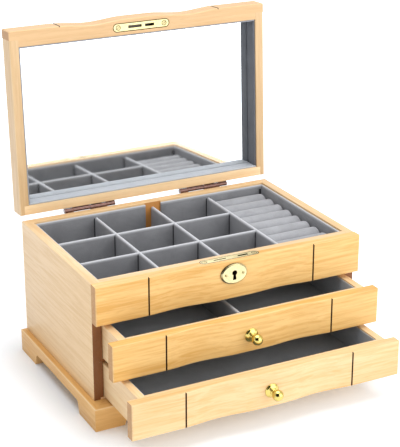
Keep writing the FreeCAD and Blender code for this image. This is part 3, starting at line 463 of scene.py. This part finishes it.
def velvet(name, tone, brushed, patch_size=34.0, sheen=0.35, crest=None, corner_shaded=False):
    """crest is the level of a top edge, in metres, below which its painted highlight fades out."""
    made, s, shader = finish(name, Sheen_Weight=sheen, Sheen_Roughness=0.45,
                             Sheen_Tint=SHEEN_TONE, Specular_IOR_Level=0.12)
    pile = use_effect(s, PILE, Color=tone, Brushed_Color=brushed, Patch_Size=patch_size)
    colour = pile["Color"]
    # Painted shade in the corners beside the column dividers.
    if corner_shaded:
        colour = use_effect(s, PAINTED_CORNER_SHADE, Color=colour,
                            Board_Top=DIVIDER_CREST - CORNER_SHADE_DROP)["Color"]
    # Painted highlight along the top edge.
    if crest:
        colour = use_effect(s, PAINTED_CREST_HIGHLIGHT, Color=colour, Crest_Tone=CREST_HIGHLIGHT_TONE,
                            Crest_Level=crest - CREST_HIGHLIGHT_FADE, Fade=CREST_HIGHLIGHT_FADE)["Color"]
    s.put(colour, shader.inputs["Base Color"])
    s.put(s.math("ADD", pile["Roughness"], VELVET_ROUGHNESS), shader.inputs["Roughness"])
    emboss(s, shader, pile["Height"], depth=0.12 * MM, strength=0.55)
    return made


def metal(name, tone, dull, dullness, roughness, coat=0.0, coat_roughness=0.12, outward=None,
          plate=None):
    """outward is the way the polished part faces: faces turned from it get patina and painted
    shade. plate is for a
    screwed plate: its centre, the direction across it, and how far from the centre its screws are;
    its edge and screws get tarnish and painted shade."""
    made, s, shader = finish(name, Metallic=1.0, Coat_Weight=coat, Coat_Roughness=coat_roughness)
    worn = use_effect(s, METAL, Color=tone, Dull_Color=dull, Dullness=dullness)
    colour = worn["Color"]
    # Tarnish and painted shade along the plate's edge and round its screws.
    if plate:
        centre, across, screw_place = plate
        colour = use_effect(s, PLATE_TARNISH_AND_SHADE, Color=colour, Tarnish=TARNISH_AND_SHADE_TONE,
                            Centre=tuple(centre), Across=tuple(across), Screw_Place=screw_place,
                            Half_Length=PLATE_HALF_LENGTH, Half_Width=PLATE_HALF_WIDTH)["Color"]
    # Patina and painted shade on the faces turned from the polished one.
    if outward:
        colour = use_effect(s, RIM_PATINA_AND_SHADE, Color=colour, Patina=TARNISH_AND_SHADE_TONE,
                            Outward=tuple(outward))["Color"]
    s.put(colour, shader.inputs["Base Color"])
    s.put(s.math("ADD", worn["Roughness"], roughness), shader.inputs["Roughness"])
    emboss(s, shader, worn["Height"], depth=0.01 * MM, strength=0.25)
    return made


GREY = (rgb(0.285, 0.288, 0.302), rgb(0.35, 0.353, 0.37))        # at rest, brushed
GREY_VELVET = velvet("tray velvet", rgb(0.32, 0.325, 0.342), rgb(0.39, 0.395, 0.412))
LINING_VELVET = velvet("lining velvet", *GREY, crest=LINING_CREST, corner_shaded=True)
WALL_VELVET = velvet("right wall velvet", *GREY, crest=LINING_CREST)
DIVIDER_VELVET = velvet("divider velvet", *GREY, crest=DIVIDER_CREST)
CROSS_VELVET = velvet("cross divider velvet", *GREY, crest=DIVIDER_CREST, corner_shaded=True)
ROLL_VELVET = velvet("roll velvet", rgb(0.37, 0.375, 0.395), rgb(0.44, 0.445, 0.47),
                     patch_size=60.0, sheen=0.5)
# The tray's cloth again, painted lighter and bluer to stand for light in the dim drawers.
DRAWER_VELVET_PAINTED_LIGHTER = velvet("drawer velvet painted lighter", rgb(0.38, 0.415, 0.46), rgb(0.46, 0.50, 0.55),
                     patch_size=26.0, sheen=0.3)
DRAWER_DIVIDER_VELVET = velvet("drawer divider velvet", *GREY, crest=DRAWER_CREST)
LID_VELVET = velvet("lid velvet", rgb(0.34, 0.35, 0.38), rgb(0.40, 0.41, 0.44),
                    patch_size=40.0, sheen=0.45)
# The lid's one cloth again: the foot lining is painted lighter as if lit from above, the right
# lining darker as painted shade.
LID_FOOT_VELVET_PAINTED_LIT = velvet("lid foot velvet painted lit", rgb(0.50, 0.53, 0.57), rgb(0.57, 0.60, 0.64),
                         patch_size=40.0, sheen=0.5)
LID_RIGHT_VELVET_PAINTED_SHADE = velvet("lid right velvet painted shade", rgb(0.165, 0.172, 0.19), rgb(0.20, 0.208, 0.225),
                          patch_size=40.0, sheen=0.3)

LOCK_PLATE = ((0, -87.15 * MM, 150.8 * MM), ALONG_Y, 28.4 * MM)
STRIKE_PLATE = (sum(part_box("strike_plate"), Vector()) / 2, ALONG_LID, 27.0 * MM)
STRIKE_OUTWARD = (RAISED.to_3x3() @ -ALONG_Z).normalized()
POLISHED_BRASS = metal("knob brass", rgb(0.68, 0.54, 0.16), rgb(0.38, 0.26, 0.06),
                       dullness=0.3, roughness=0.06)
SCREW_BRASS = metal("plate screw brass", rgb(0.54, 0.46, 0.24), rgb(0.36, 0.27, 0.11),
                    dullness=0.4, roughness=0.42)
KEYHOLE_BRASS = metal("keyhole brass", rgb(0.78, 0.68, 0.38), rgb(0.55, 0.40, 0.16),
                      dullness=0.35, roughness=0.24, outward=-ALONG_Y)
LOCK_PLATE_BRASS = metal("lock plate brass", rgb(0.60, 0.53, 0.30), rgb(0.40, 0.31, 0.13),
                         dullness=0.35, roughness=0.42, outward=ALONG_Z, plate=LOCK_PLATE)
STRIKE_PLATE_BRASS = metal("strike plate brass", rgb(0.66, 0.57, 0.29), rgb(0.45, 0.34, 0.14),
                           dullness=0.35, roughness=0.34, outward=STRIKE_OUTWARD,
                           plate=STRIKE_PLATE)
ANTIQUE_BRASS = metal("hinge brass", rgb(0.115, 0.046, 0.032), rgb(0.045, 0.018, 0.012),
                      dullness=0.5, roughness=0.16, coat=1.0, coat_roughness=0.04)
DARK_BRASS = metal("lock hook brass", rgb(0.12, 0.085, 0.03), rgb(0.05, 0.035, 0.015),
                   dullness=0.5, roughness=0.35)
BLACKED_STEEL = metal("lock case steel", rgb(0.022, 0.018, 0.015), rgb(0.01, 0.009, 0.008),
                      dullness=0.5, roughness=0.55)
STEEL = metal("plain steel", rgb(0.62, 0.62, 0.62), rgb(0.35, 0.34, 0.33),
              dullness=0.5, roughness=0.28)
SILVERING = metal("mirror glass", rgb(0.955, 0.965, 0.965), rgb(0.90, 0.92, 0.92),
                  dullness=0.02, roughness=0.0)


# ---- shaping ----
def piece(name, build, body, material, stands_for, angle):
    """Puts a finished bmesh into the scene as one piece of the box."""
    bmesh.ops.recalc_face_normals(build, faces=build.faces)
    mesh = bpy.data.meshes.new(name)
    build.to_mesh(mesh)
    build.free()
    if mesh.has_custom_normals:
        # Normals carried over from the frame no longer fit once its vertices are merged.
        mesh.attributes.remove(mesh.attributes["custom_normal"])
    made = bpy.data.objects.new(name, mesh)
    bpy.context.scene.collection.objects.link(made)
    mesh.materials.append(material)
    mesh.shade_smooth()
    mesh.set_sharp_from_angle(angle=math.radians(angle))
    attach(made, body)
    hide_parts(*stands_for)
    return made


def bridge(build, rows):
    """Joins each ring of vertices to the next with a band of quads."""
    for first, second in zip(rows, rows[1:]):
        count = len(first)
        for i in range(count):
            j = (i + 1) % count
            build.faces.new((first[i], first[j], second[j], second[i]))


def skin(rings):
    """Closes a row of rings into a solid with flat ends."""
    build = bmesh.new()
    rows = [[build.verts.new(point) for point in ring] for ring in rings]
    bridge(build, rows)
    build.faces.new(rows[0][::-1])
    build.faces.new(rows[-1])
    return build


def corners(low, high, inset=0.0):
    """The four corners of a box seen from above, drawn in by the inset."""
    return [(low.x + inset, low.y + inset), (high.x - inset, low.y + inset),
            (high.x - inset, high.y - inset), (low.x + inset, high.y - inset)]


def steps(start, end, spacing):
    count = max(1, round(abs(end - start) / spacing))
    return [start + (end - start) * i / count for i in range(count + 1)]


def half_turn(count):
    return [math.pi * i / count for i in range(count + 1)]


def closed_box(node):
    """Lowest and highest corners of a lid node as it lies with the lid shut."""
    points = [LOWERED @ vertex.co for vertex in NODES[node].data.vertices]
    return [Vector(pick(point[axis] for point in points) for axis in range(3))
            for pick in (min, max)]


SANDED = 0.35 * MM               # the arris taken off a board
MERGED = 0.002 * MM              # vertices closer than this are one
FLAT = math.radians(0.6)
SHARP = math.radians(50)


def eased(node, body, material, ease, angle=32):
    """A piece from the frame, with its sharp arrises taken off as a maker sands them."""
    build = bmesh.new()
    build.from_mesh(NODES[node].data)
    bmesh.ops.remove_doubles(build, verts=build.verts, dist=MERGED)
    if ease:
        bmesh.ops.dissolve_limit(build, angle_limit=FLAT, verts=build.verts, edges=build.edges)
        sharp = [edge for edge in build.edges if edge.is_manifold
                 and edge.calc_face_angle(0) > SHARP
                 and edge.calc_length() > 4 * ease and edge.is_convex]
        bmesh.ops.bevel(build, geom=sharp, offset=ease, segments=2, profile=0.6,
                        affect="EDGES", clamp_overlap=True)
    return piece(node + "_dressed", build, body, material, [node], angle)


BOW_FACING = 0.85                # least share of a bowed face's normal that points outward
BOW_LEVEL = 0.05                 # most of its normal that may point up or down
ON_EDGE = 0.05 * MM
CURVE_SPACING = 1.2 * MM
OFF_CURVE = 0.25 * MM            # farther off than this is a groove or a pocket


def bow_shading(mesh, outward):
    """Gives a bowed face the normals of its true curve, so that light runs along it unbroken."""
    rise = ALONG_X.cross(outward)
    facing = [polygon for polygon in mesh.polygons if polygon.normal.dot(outward) > BOW_FACING
              and abs(polygon.normal.dot(rise)) < BOW_LEVEL]
    points = [mesh.vertices[index].co for polygon in facing for index in polygon.vertices]
    levels = [point.dot(rise) for point in points]
    low, high = min(levels), max(levels)
    # Only the long edges of the board lie on its curve for certain: holes are between them.
    edge = sorted({(point.x, point.dot(outward)) for point, level in zip(points, levels)
                   if min(level - low, high - level) < ON_EDGE})
    curve = [edge[0]]
    for point in edge[1:]:
        if point[0] - curve[-1][0] > CURVE_SPACING:
            curve.append(point)
    slopes = [((a[0] + b[0]) / 2, (b[1] - a[1]) / (b[0] - a[0]))
              for a, b in zip(curve, curve[1:])]

    def between(row, x):
        if x <= row[0][0]:
            return row[0][1]
        for (x0, first), (x1, second) in zip(row, row[1:]):
            if x <= x1:
                return first + (second - first) * (x - x0) / (x1 - x0)
        return row[-1][1]

    normals = [corner.vector.copy() for corner in mesh.corner_normals]
    for polygon in facing:
        spots = [mesh.vertices[index].co for index in polygon.vertices]
        if any(abs(spot.dot(outward) - between(curve, spot.x)) > OFF_CURVE for spot in spots):
            continue
        for loop, spot in zip(polygon.loop_indices, spots):
            normals[loop] = (outward - ALONG_X * between(slopes, spot.x)).normalized()
    mesh.normals_split_custom_set(normals)


def repaint(node, material):
    NODES[node].material_slots[0].material = material


# ---- wood ----
def board_offset(index):
    """Moves each board to its own place in the timber, so no two boards match."""
    return Vector((0.37 * index % 1.9, 0.61 * index % 2.3, 0.83 * index % 1.7))


WOODEN = [            # node, body, slot, tones, way of the grain, strength of the figure
    ("left_side_panel", "case", "case_wood", "case", ALONG_Y, 1.0),
    ("right_side_panel", "case", "case_wood", "case", ALONG_Y, 1.0),
    ("back_panel", "case", "case_wood", "case", ALONG_X, 1.0),
    ("tray_front_wall", "case", "case_wood", "case", ALONG_X, 0.8),
    ("front_rail", "case", "front_wood", "front", ALONG_X, 1.0),
    ("tray_floor", "case", "panel_wood", "pale", ALONG_X, 0.7),
    ("dust_board", "case", "panel_wood", "pale", ALONG_X, 0.7),
    ("case_bottom", "case", "panel_wood", "pale", ALONG_X, 0.7),
    ("plinth_front", "case", "case_wood", "plinth", ALONG_X, 1.0),
    ("plinth_back", "case", "case_wood", "plinth", ALONG_X, 1.0),
    ("plinth_left", "case", "case_wood", "plinth", ALONG_Y, 1.0),
    ("plinth_right", "case", "case_wood", "plinth", ALONG_Y, 1.0),
    ("lid_left_rail", "lid", "case_wood", "shaded stile", ALONG_LID, 1.0),
    ("lid_right_rail", "lid", "case_wood", "shaded stile", ALONG_LID, 1.0),
    ("lid_back_rail", "lid", "case_wood", "back rail", ALONG_X, 1.0),
    ("lid_inner_front_rail", "lid", "case_wood", "lid", ALONG_X, 0.8),
    ("lid_front_moulding", "lid", "front_wood", "lid", ALONG_X, 0.8),
    ("lid_top_panel", "lid", "panel_wood", "case", ALONG_X, 0.9),
]
for drawer_name, tones in zip(DRAWERS, ("front", "lower")):
    WOODEN += [
        (drawer_name + "_front", drawer_name, "front_wood", tones, ALONG_X, 1.0),
        (drawer_name + "_inner_front", drawer_name, "case_wood", "pale", ALONG_X, 0.8),
        (drawer_name + "_left_side", drawer_name, "case_wood", "pale", ALONG_Y, 0.8),
        (drawer_name + "_right_side", drawer_name, "case_wood", "pale", ALONG_Y, 0.8),
        (drawer_name + "_back", drawer_name, "case_wood", "pale", ALONG_X, 0.8),
        (drawer_name + "_bottom", drawer_name, "panel_wood", "pale", ALONG_X, 0.7),
    ]
GROOVED = ("front_rail", "lid_front_moulding", "middle_drawer_front", "lower_drawer_front")
# Side panels whose end grain is painted darker: painted shade from the drawers over the real end
# grain.
SHADED_END_GRAIN_BOARDS = ("left_side_panel", "right_side_panel")
# Boxes of painted shade: the keyhole's mortise, the strike's recess, the dust board's edge between
# the drawers, and the bare wood of the back's opening.
STRIKE_RECESS_SHADE = (MORTISE_SHADE_TONE, (0, 120.6 * MM, 345.4 * MM), (17.5 * MM, 4.6 * MM, 2.6 * MM))
RECESS_SHADES = {          # tone, centre, half size
    "front_rail": (MORTISE_SHADE_TONE, (0, -90.6 * MM, 137.0 * MM), (3.6 * MM, 5.4 * MM, 8.5 * MM)),
    "lid_front_moulding": STRIKE_RECESS_SHADE,
    "lid_inner_front_rail": STRIKE_RECESS_SHADE,
    "back_panel": (BARE_WOOD_AND_SHADE_TONE, (0, 93.05 * MM, 130.0 * MM), (9.6 * MM, 0.3 * MM, 20.6 * MM)),
    "dust_board": (END_GRAIN_AND_SHADE_TONE, (0, -85.15 * MM, 67.0 * MM),
                   (150.0 * MM, 0.3 * MM, 2.0 * MM)),
}


def wooden_boards():
    for index, (node, body, material_slot, tones, direction, figure) in enumerate(WOODEN):
        grooved = node in GROOVED
        # Painted shade on the side panels' end grain.
        end = END_GRAIN_AND_SHADE_TONE if node in SHADED_END_GRAIN_BOARDS else None
        material = wood("wood " + node.replace("_", " "), tones, direction,
                        board_offset(index), figure, grooved, end, RECESS_SHADES.get(node))
        made = eased(node, body, material, 0.0 if grooved else SANDED)
        if grooved:
            bow_shading(made.data, STRIKE_FRONT if body == "lid" else -ALONG_Y)


# ---- velvet ----
BOARD_SPACING = 7 * MM           # between the rings of a velvet board
SOFT_END = 0.3 * MM
SLACK_SHARE = 0.8                # of the soft end, how much an end ring is drawn in
BOARD_LEVELS, BOARD_ARC = 4, 8


def wander(place, size, amount):
    """A small smooth departure from true, the same each time for the same place."""
    return noise.noise(Vector(place) * size) * amount


def upright(level):
    return Vector((0, 0, level))


def velvet_board(name, start, end, low, high, thickness, body, material, stands_for,
                 fit=Matrix.Identity(4)):
    """Card covered in velvet: upright, with a rounded top edge and slightly soft ends."""
    start, end = Vector(start), Vector(end)
    along = (end - start).normalized()
    across = Vector((-along.y, along.x, 0))
    half = thickness / 2
    length = (end - start).length
    places = [0.0, SOFT_END] + steps(SOFT_END, length - SOFT_END, BOARD_SPACING)[1:] + [length]
    rings = []
    for place in places:
        spot = start + along * place
        slack = SOFT_END * SLACK_SHARE if place in (0.0, length) else 0.0
        width = half - slack + wander(spot + across, 60, 0.10 * MM)
        crest = high - slack + min(0.0, wander(spot, 45, 0.22 * MM))
        shoulder = crest - half
        levels = [low + (shoulder - low) * i / BOARD_LEVELS for i in range(BOARD_LEVELS)]
        ring = [spot - across * width + upright(level) for level in levels]
        ring += [spot + across * (-math.cos(turn) * width)
                 + upright(shoulder + math.sin(turn) * half) for turn in half_turn(BOARD_ARC)]
        ring += [spot + across * width + upright(level) for level in levels[::-1]]
        rings.append([fit @ point for point in ring])
    return piece(name, skin(rings), body, material, stands_for, 60)


def pad_block(name, low, high, ease, stands_for):
    """A flat foam or felt piece with soft edges."""
    build = bmesh.new()
    bmesh.ops.create_cube(build, size=1.0)
    size, middle = high - low, (high + low) / 2
    for vertex in build.verts:
        vertex.co = Vector(vertex.co[i] * size[i] for i in range(3)) + middle
    bmesh.ops.bevel(build, geom=build.edges[:], offset=ease, segments=3, profile=0.5,
                    affect="EDGES")
    return piece(name, build, "case", GREY_VELVET, stands_for, 60)


def tray_linings():
    low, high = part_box("tray_lining")
    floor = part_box("tray_floor")[1].z
    felt_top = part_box("centre_divider")[0].z
    card = 2.1 * MM
    half = card / 2
    opening = 9.5 * MM           # half of the bare stretch in the middle of the back
    stands_for = ["tray_lining"]
    left, right = low.x + half, high.x - half
    near, far = low.y + half, high.y - half
    inner_near, inner_far = low.y + card, high.y

    def card_board(name, start, end, material=LINING_VELVET):
        velvet_board(name, start, end, floor, high.z, card, "case", material, stands_for)

    card_board("tray_lining_front", (low.x, near, 0), (high.x, near, 0))
    card_board("tray_lining_left", (left, inner_near, 0), (left, inner_far, 0))
    card_board("tray_lining_right", (right, inner_near, 0), (right, inner_far, 0), WALL_VELVET)
    card_board("tray_lining_back_left", (low.x + card, far, 0), (-opening, far, 0))
    card_board("tray_lining_back_right", (opening, far, 0), (high.x - card, far, 0))
    pad_block("tray_floor_felt", Vector((low.x + card, low.y + card, floor)),
              Vector((high.x - card, high.y - card, felt_top)), 0.2 * MM, stands_for)


def divider(node, body, material, along_x, drop=0.0):
    low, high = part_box(node)
    middle = (low + high) / 2
    if along_x:
        start, end, thickness = (low.x, middle.y, 0), (high.x, middle.y, 0), high.y - low.y
    else:
        start, end, thickness = (middle.x, low.y, 0), (middle.x, high.y, 0), high.x - low.x
    velvet_board(node + "_velvet", start, end, low.z, high.z - drop, thickness, body, material,
                 [node])


ROLL_COUNT = 8
ROLL_GAP = 0.3 * MM
ROLL_SPACING = 5 * MM            # between the rings of a roll's straight part
END_ROUND = 3.6 * MM
END_STEPS = 5
SHORTEST = 0.92                  # of the end's rounding, the most that the last ring is drawn in
PLUMP_WANDER, PLUMP_DROP, CREST_WANDER = 0.35 * MM, 0.12 * MM, 0.6 * MM
TUCK = 0.7 * MM
ROLL_LEVELS, ROLL_ARC = 4, 16


def ring_rolls():
    low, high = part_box("ring_rolls")
    pitch = (high.y - low.y + ROLL_GAP) / ROLL_COUNT
    radius = (pitch - ROLL_GAP) / 2
    for index in range(ROLL_COUNT):
        centre = high.y - radius - pitch * index
        roll("ring_roll_%d" % (index + 1), low.x, high.x, centre, low.z, high.z, radius, index)


def roll(name, start, end, centre, low, high, radius, index):
    """A foam roll in velvet: crowned, tucked in at its foot, with rounded ends."""
    near_end = [END_ROUND * (1 - math.cos(math.pi / 2 * i / END_STEPS))
                for i in range(END_STEPS + 1)]
    inner = steps(start + END_ROUND, end - END_ROUND, ROLL_SPACING)[1:-1]
    places = ([start + reach for reach in near_end] + inner
              + [end - reach for reach in near_end[::-1]])
    rings = []
    for place in places:
        reach = min(place - start, end - place)
        left_over = END_ROUND - min(reach, END_ROUND)
        short = END_ROUND - math.sqrt(max(0.0, END_ROUND ** 2 - left_over ** 2))
        short = min(short, END_ROUND * SHORTEST)
        plump = wander((place, index * 0.37, 0.2), 55, PLUMP_WANDER) - PLUMP_DROP
        width = radius - short * 0.8 + min(0.0, plump)
        crest = high - short + min(0.0, wander((place, index * 0.53, 0.9), 38, CREST_WANDER))
        shoulder = crest - min(radius, crest - low)
        rise = crest - shoulder
        shares = [i / ROLL_LEVELS for i in range(ROLL_LEVELS)]
        flank = [(TUCK * (1 - share) ** 2, low + (shoulder - low) * share) for share in shares]
        ring = [(place, centre - width + inward, level) for inward, level in flank]
        ring += [(place, centre - math.cos(turn) * width, shoulder + math.sin(turn) * rise)
                 for turn in half_turn(ROLL_ARC)]
        ring += [(place, centre + width - inward, level) for inward, level in flank[::-1]]
        rings.append(ring)
    made = piece(name, skin(rings), "case", ROLL_VELVET, ["ring_rolls"], 70)


def drawer_lining(drawer_name):
    """Velvet-covered card round the inside of a drawer, with its floor."""
    node = drawer_name + "_lining"
    low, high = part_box(node)
    seam = Vector((0.3 * MM, 0.3 * MM, 0))
    low, high = low + seam, high - seam
    card = 1.2 * MM
    build = skin([[(x, y, level) for x, y in corners(low, high, inset)] for inset, level in (
        (0.0, low.z), (0.0, high.z), (card, high.z), (card, low.z + card))])
    bmesh.ops.bevel(build, geom=build.edges[:], offset=0.45 * MM, segments=3, profile=0.5,
                    affect="EDGES")
    piece(node + "_velvet", build, drawer_name, DRAWER_VELVET_PAINTED_LIGHTER, [node], 60)


def lid_linings():
    low, high = closed_box("lid_lining")
    card = 2.0 * MM
    half = card / 2
    # Built shut and upside down, so that the soft edge is the one that faces out of the lid.
    flip = RAISED @ Matrix.Translation(upright(low.z + high.z)) @ Matrix.Scale(-1, 4, ALONG_Z)

    def board(side, start, end, material=LID_VELVET):
        velvet_board("lid_lining_" + side, start, end, low.z, high.z, card, "lid", material,
                     ["lid_lining"], flip)

    near, far = low.y + card, high.y - card
    board("front", (low.x, low.y + half, 0), (high.x, low.y + half, 0))
    # Painted light on the foot lining, painted shade on the right one.
    board("back", (low.x, high.y - half, 0), (high.x, high.y - half, 0), LID_FOOT_VELVET_PAINTED_LIT)
    board("left", (low.x + half, near, 0), (low.x + half, far, 0))
    board("right", (high.x - half, near, 0), (high.x - half, far, 0), LID_RIGHT_VELVET_PAINTED_SHADE)


def mirror_glass():
    """Plate glass with a narrow ground bevel all round its face."""
    low, high = closed_box("mirror")
    bevel, fall = 3.4 * MM, 0.55 * MM
    build = skin([[RAISED @ Vector((x, y, level)) for x, y in corners(low, high, inset)]
                  for inset, level in ((0.0, high.z), (0.0, low.z + fall), (bevel, low.z))])
    piece("mirror_plate", build, "lid", SILVERING, ["mirror"], 1)


# ---- metal ----
KNOB_PROFILE = [      # radius, distance out from the drawer front, in millimetres
    (1.85, 0.0), (7.2, 0.0), (7.45, 0.12), (7.5, 0.4), (7.35, 0.8), (6.9, 1.05), (6.75, 1.1),
    (6.6, 1.35), (5.6, 1.9), (4.4, 2.4), (3.4, 2.75), (3.25, 3.0), (3.3, 3.3), (3.15, 3.6),
    (2.8, 3.75), (2.45, 3.9), (2.2, 4.4), (2.1, 5.2), (2.15, 6.0), (2.5, 6.5), (2.95, 6.75),
    (3.1, 7.0), (3.0, 7.2)]
KNOB_BALL, KNOB_REACH = 5.75, 12.0       # radius and distance out, in millimetres
KNOB_COLLAR = 3.1                        # radius at which the ball leaves the neck
BALL_STEPS, KNOB_AROUND = 24, 48


def knob(drawer_name):
    """A turned knob: stepped rose, waisted neck with a collar, and a ball."""
    node = drawer_name + "_knob"
    low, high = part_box(node)
    centre = Vector(((low.x + high.x) / 2, high.y, (low.z + high.z) / 2))
    profile = list(KNOB_PROFILE)
    start = math.asin(KNOB_COLLAR / KNOB_BALL)
    for i in range(1, BALL_STEPS + 1):
        turn = start + (math.pi - start) * i / BALL_STEPS
        profile.append((max(0.0, math.sin(turn) * KNOB_BALL),
                        KNOB_REACH - math.cos(turn) * KNOB_BALL))
    build = bmesh.new()

    def vertex(x, y, z):
        return build.verts.new(centre + Vector((x, y, z)) * MM)

    turns = [2 * math.pi * k / KNOB_AROUND for k in range(KNOB_AROUND)]
    rows = [[vertex(radius * math.cos(turn), -out, radius * math.sin(turn)) for turn in turns]
            for radius, out in profile[:-1]]
    tip = vertex(0, -profile[-1][1], 0)
    bridge(build, rows)
    for k in range(KNOB_AROUND):
        build.faces.new((rows[-1][k], rows[-1][(k + 1) % KNOB_AROUND], tip))
    piece(drawer_name + "_turned_knob", build, drawer_name, POLISHED_BRASS,
          [node], 50)


def metalwork():
    for drawer_name in DRAWERS:
        knob(drawer_name)
        repaint(drawer_name + "_knob_screw", STEEL)
    repaint("lock_body", BLACKED_STEEL)
    repaint("lock_hook", DARK_BRASS)
    for node, body, material_slot, material in (
            ("lock_plate", "case", "plate_brass", LOCK_PLATE_BRASS),
            ("lock_plate_screws", "case", "plate_brass", SCREW_BRASS),
            ("escutcheon", "case", "plate_brass", KEYHOLE_BRASS),
            ("escutcheon_pins", "case", "plate_brass", SCREW_BRASS),
            ("strike_plate", "lid", "plate_brass", STRIKE_PLATE_BRASS),
            ("strike_plate_screws", "lid", "plate_brass", SCREW_BRASS),
            ("hinge_case_leaves", "case", "antique_brass", ANTIQUE_BRASS),
            ("hinge_pins", "case", "antique_brass", ANTIQUE_BRASS),
            ("hinge_case_screws", "case", "antique_brass", ANTIQUE_BRASS),
            ("hinge_lid_leaves", "lid", "antique_brass", ANTIQUE_BRASS),
            ("hinge_lid_screws", "lid", "antique_brass", ANTIQUE_BRASS)):
        eased(node, body, material, 0.0, 30)


# ---- studio ----
AMBIENT = 0.5
DARK_SIDE = Vector((-0.53, -0.62, 0.58))      # the unlit side of the room, seen in polished metal
FLOOR_SIZE = 6.0
PAPER_TONES = (rgb(0.885, 0.915, 0.95), rgb(0.905, 0.935, 0.97))
# Colour of the floor's painted glow.
PAINTED_GLOW_TONE = rgb(0.92, 1.0, 1.09)
BOX_HALF = (0.157, 0.103, 0.0)                # half of the box's width and depth on the floor
SOFTBOX_AIM = Vector((0, 0, 0.12))
SOFTBOXES = (         # name, place, side of the square, power
    ("overhead", (0.0, 0.0, 1.7), 1.6, 23.0),
    ("right key", (0.95, -1.65, 0.75), 1.7, 19.5),
)
CAMERA_PLACE = (-0.61475, -1.21854, 0.68833)
CAMERA_TURN = Euler((math.radians(68.733), 0.0, math.radians(-27.205)), "XYZ")
CAMERA_LENS, CAMERA_SENSOR = 111.95, 36.0


def white_room(scene):
    """A white world: metal sees one dark side of it, and matt surfaces get half its light."""
    world = bpy.data.worlds.new("white studio")
    world.use_nodes = True
    sky = Sketch(world.node_tree)
    background = world.node_tree.nodes["Background"]
    background.inputs["Color"].default_value = rgb(1.0, 1.0, 1.0)
    rays = sky.node("ShaderNodeLightPath").outputs
    dark_side = sky.vector("DOT_PRODUCT", sky.coordinate("Generated"), DARK_SIDE.normalized())
    seen_in_metal = sky.ramp(dark_side, 0.74, 0.88, 1.0, 0.02)
    glossy = sky.math("MULTIPLY", rays["Is Glossy Ray"], seen_in_metal)
    diffuse = sky.math("MULTIPLY", rays["Is Diffuse Ray"], AMBIENT)
    strength = sky.math("ADD", sky.math("ADD", glossy, rays["Is Camera Ray"]), diffuse)
    sky.put(strength, background.inputs["Strength"])
    scene.world = world


def white_floor(scene):
    """White paper with painted light: it glows, faintly by the box and more away from it, so that
    it fades into the room; the weaker glow by the box is a painted shadow.
    """
    build = bmesh.new()
    bmesh.ops.create_grid(build, x_segments=2, y_segments=2, size=FLOOR_SIZE)
    mesh = bpy.data.meshes.new("floor")
    build.to_mesh(mesh)
    build.free()
    floor = bpy.data.objects.new("floor", mesh)
    scene.collection.objects.link(floor)
    paper, s, shader = finish("white paper", Roughness=0.9, Specular_IOR_Level=0.1)
    place = s.coordinate("Object")
    s.put(s.blend(s.noise(place, scale=6.0), *PAPER_TONES), shader.inputs["Base Color"])
    past_box = s.vector("SUBTRACT", s.vector("ABSOLUTE", place), BOX_HALF)
    outside = s.vector("LENGTH", s.vector("MAXIMUM", past_box, (0, 0, 0)))
    # Painted shadow round the box, painted light farther out.
    painted_glow_and_shadow = s.math("ADD", s.ramp(outside, 0.0, 0.09, 0.02, 0.40),
                  s.ramp(s.vector("LENGTH", place), 0.5, 1.3, 0.0, 0.55))
    s.put(s.blend(painted_glow_and_shadow, rgb(0.0, 0.0, 0.0), PAINTED_GLOW_TONE), shader.inputs["Emission Color"])
    shader.inputs["Emission Strength"].default_value = 1.0
    mesh.materials.append(paper)


def studio():
    scene = bpy.context.scene
    scene.view_settings.view_transform = "Standard"
    scene.view_settings.look = "None"
    white_room(scene)
    white_floor(scene)

    for name, place, side, power in SOFTBOXES:
        lamp = bpy.data.lights.new(name, "AREA")
        lamp.shape = "RECTANGLE"
        lamp.size, lamp.size_y = side, side
        lamp.energy = power
        made = bpy.data.objects.new(name, lamp)
        made.location = place
        made.rotation_euler = (SOFTBOX_AIM - Vector(place)).to_track_quat("-Z", "Y").to_euler()
        scene.collection.objects.link(made)

    camera = bpy.data.objects.new("camera", bpy.data.cameras.new("camera"))
    camera.location = CAMERA_PLACE
    camera.rotation_euler = CAMERA_TURN
    camera.data.lens = CAMERA_LENS
    camera.data.sensor_width = CAMERA_SENSOR
    camera.data.sensor_fit = "AUTO"
    camera.data.clip_start, camera.data.clip_end = 0.02, 60.0
    scene.collection.objects.link(camera)
    scene.camera = camera


wooden_boards()
tray_linings()
for node in ("left_divider", "centre_divider", "right_divider"):
    divider(node, "case", DIVIDER_VELVET, False)
for node in ("front_cross_divider", "back_cross_divider"):
    divider(node, "case", CROSS_VELVET, True, 0.15 * MM)
divider("middle_drawer_divider", "middle_drawer", DRAWER_DIVIDER_VELVET, False)
ring_rolls()
pad_block("ring_pad_foam", *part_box("ring_pad_base"), 0.8 * MM, ["ring_pad_base"])
for drawer_name in DRAWERS:
    drawer_lining(drawer_name)
lid_linings()
mirror_glass()
metalwork()
studio()
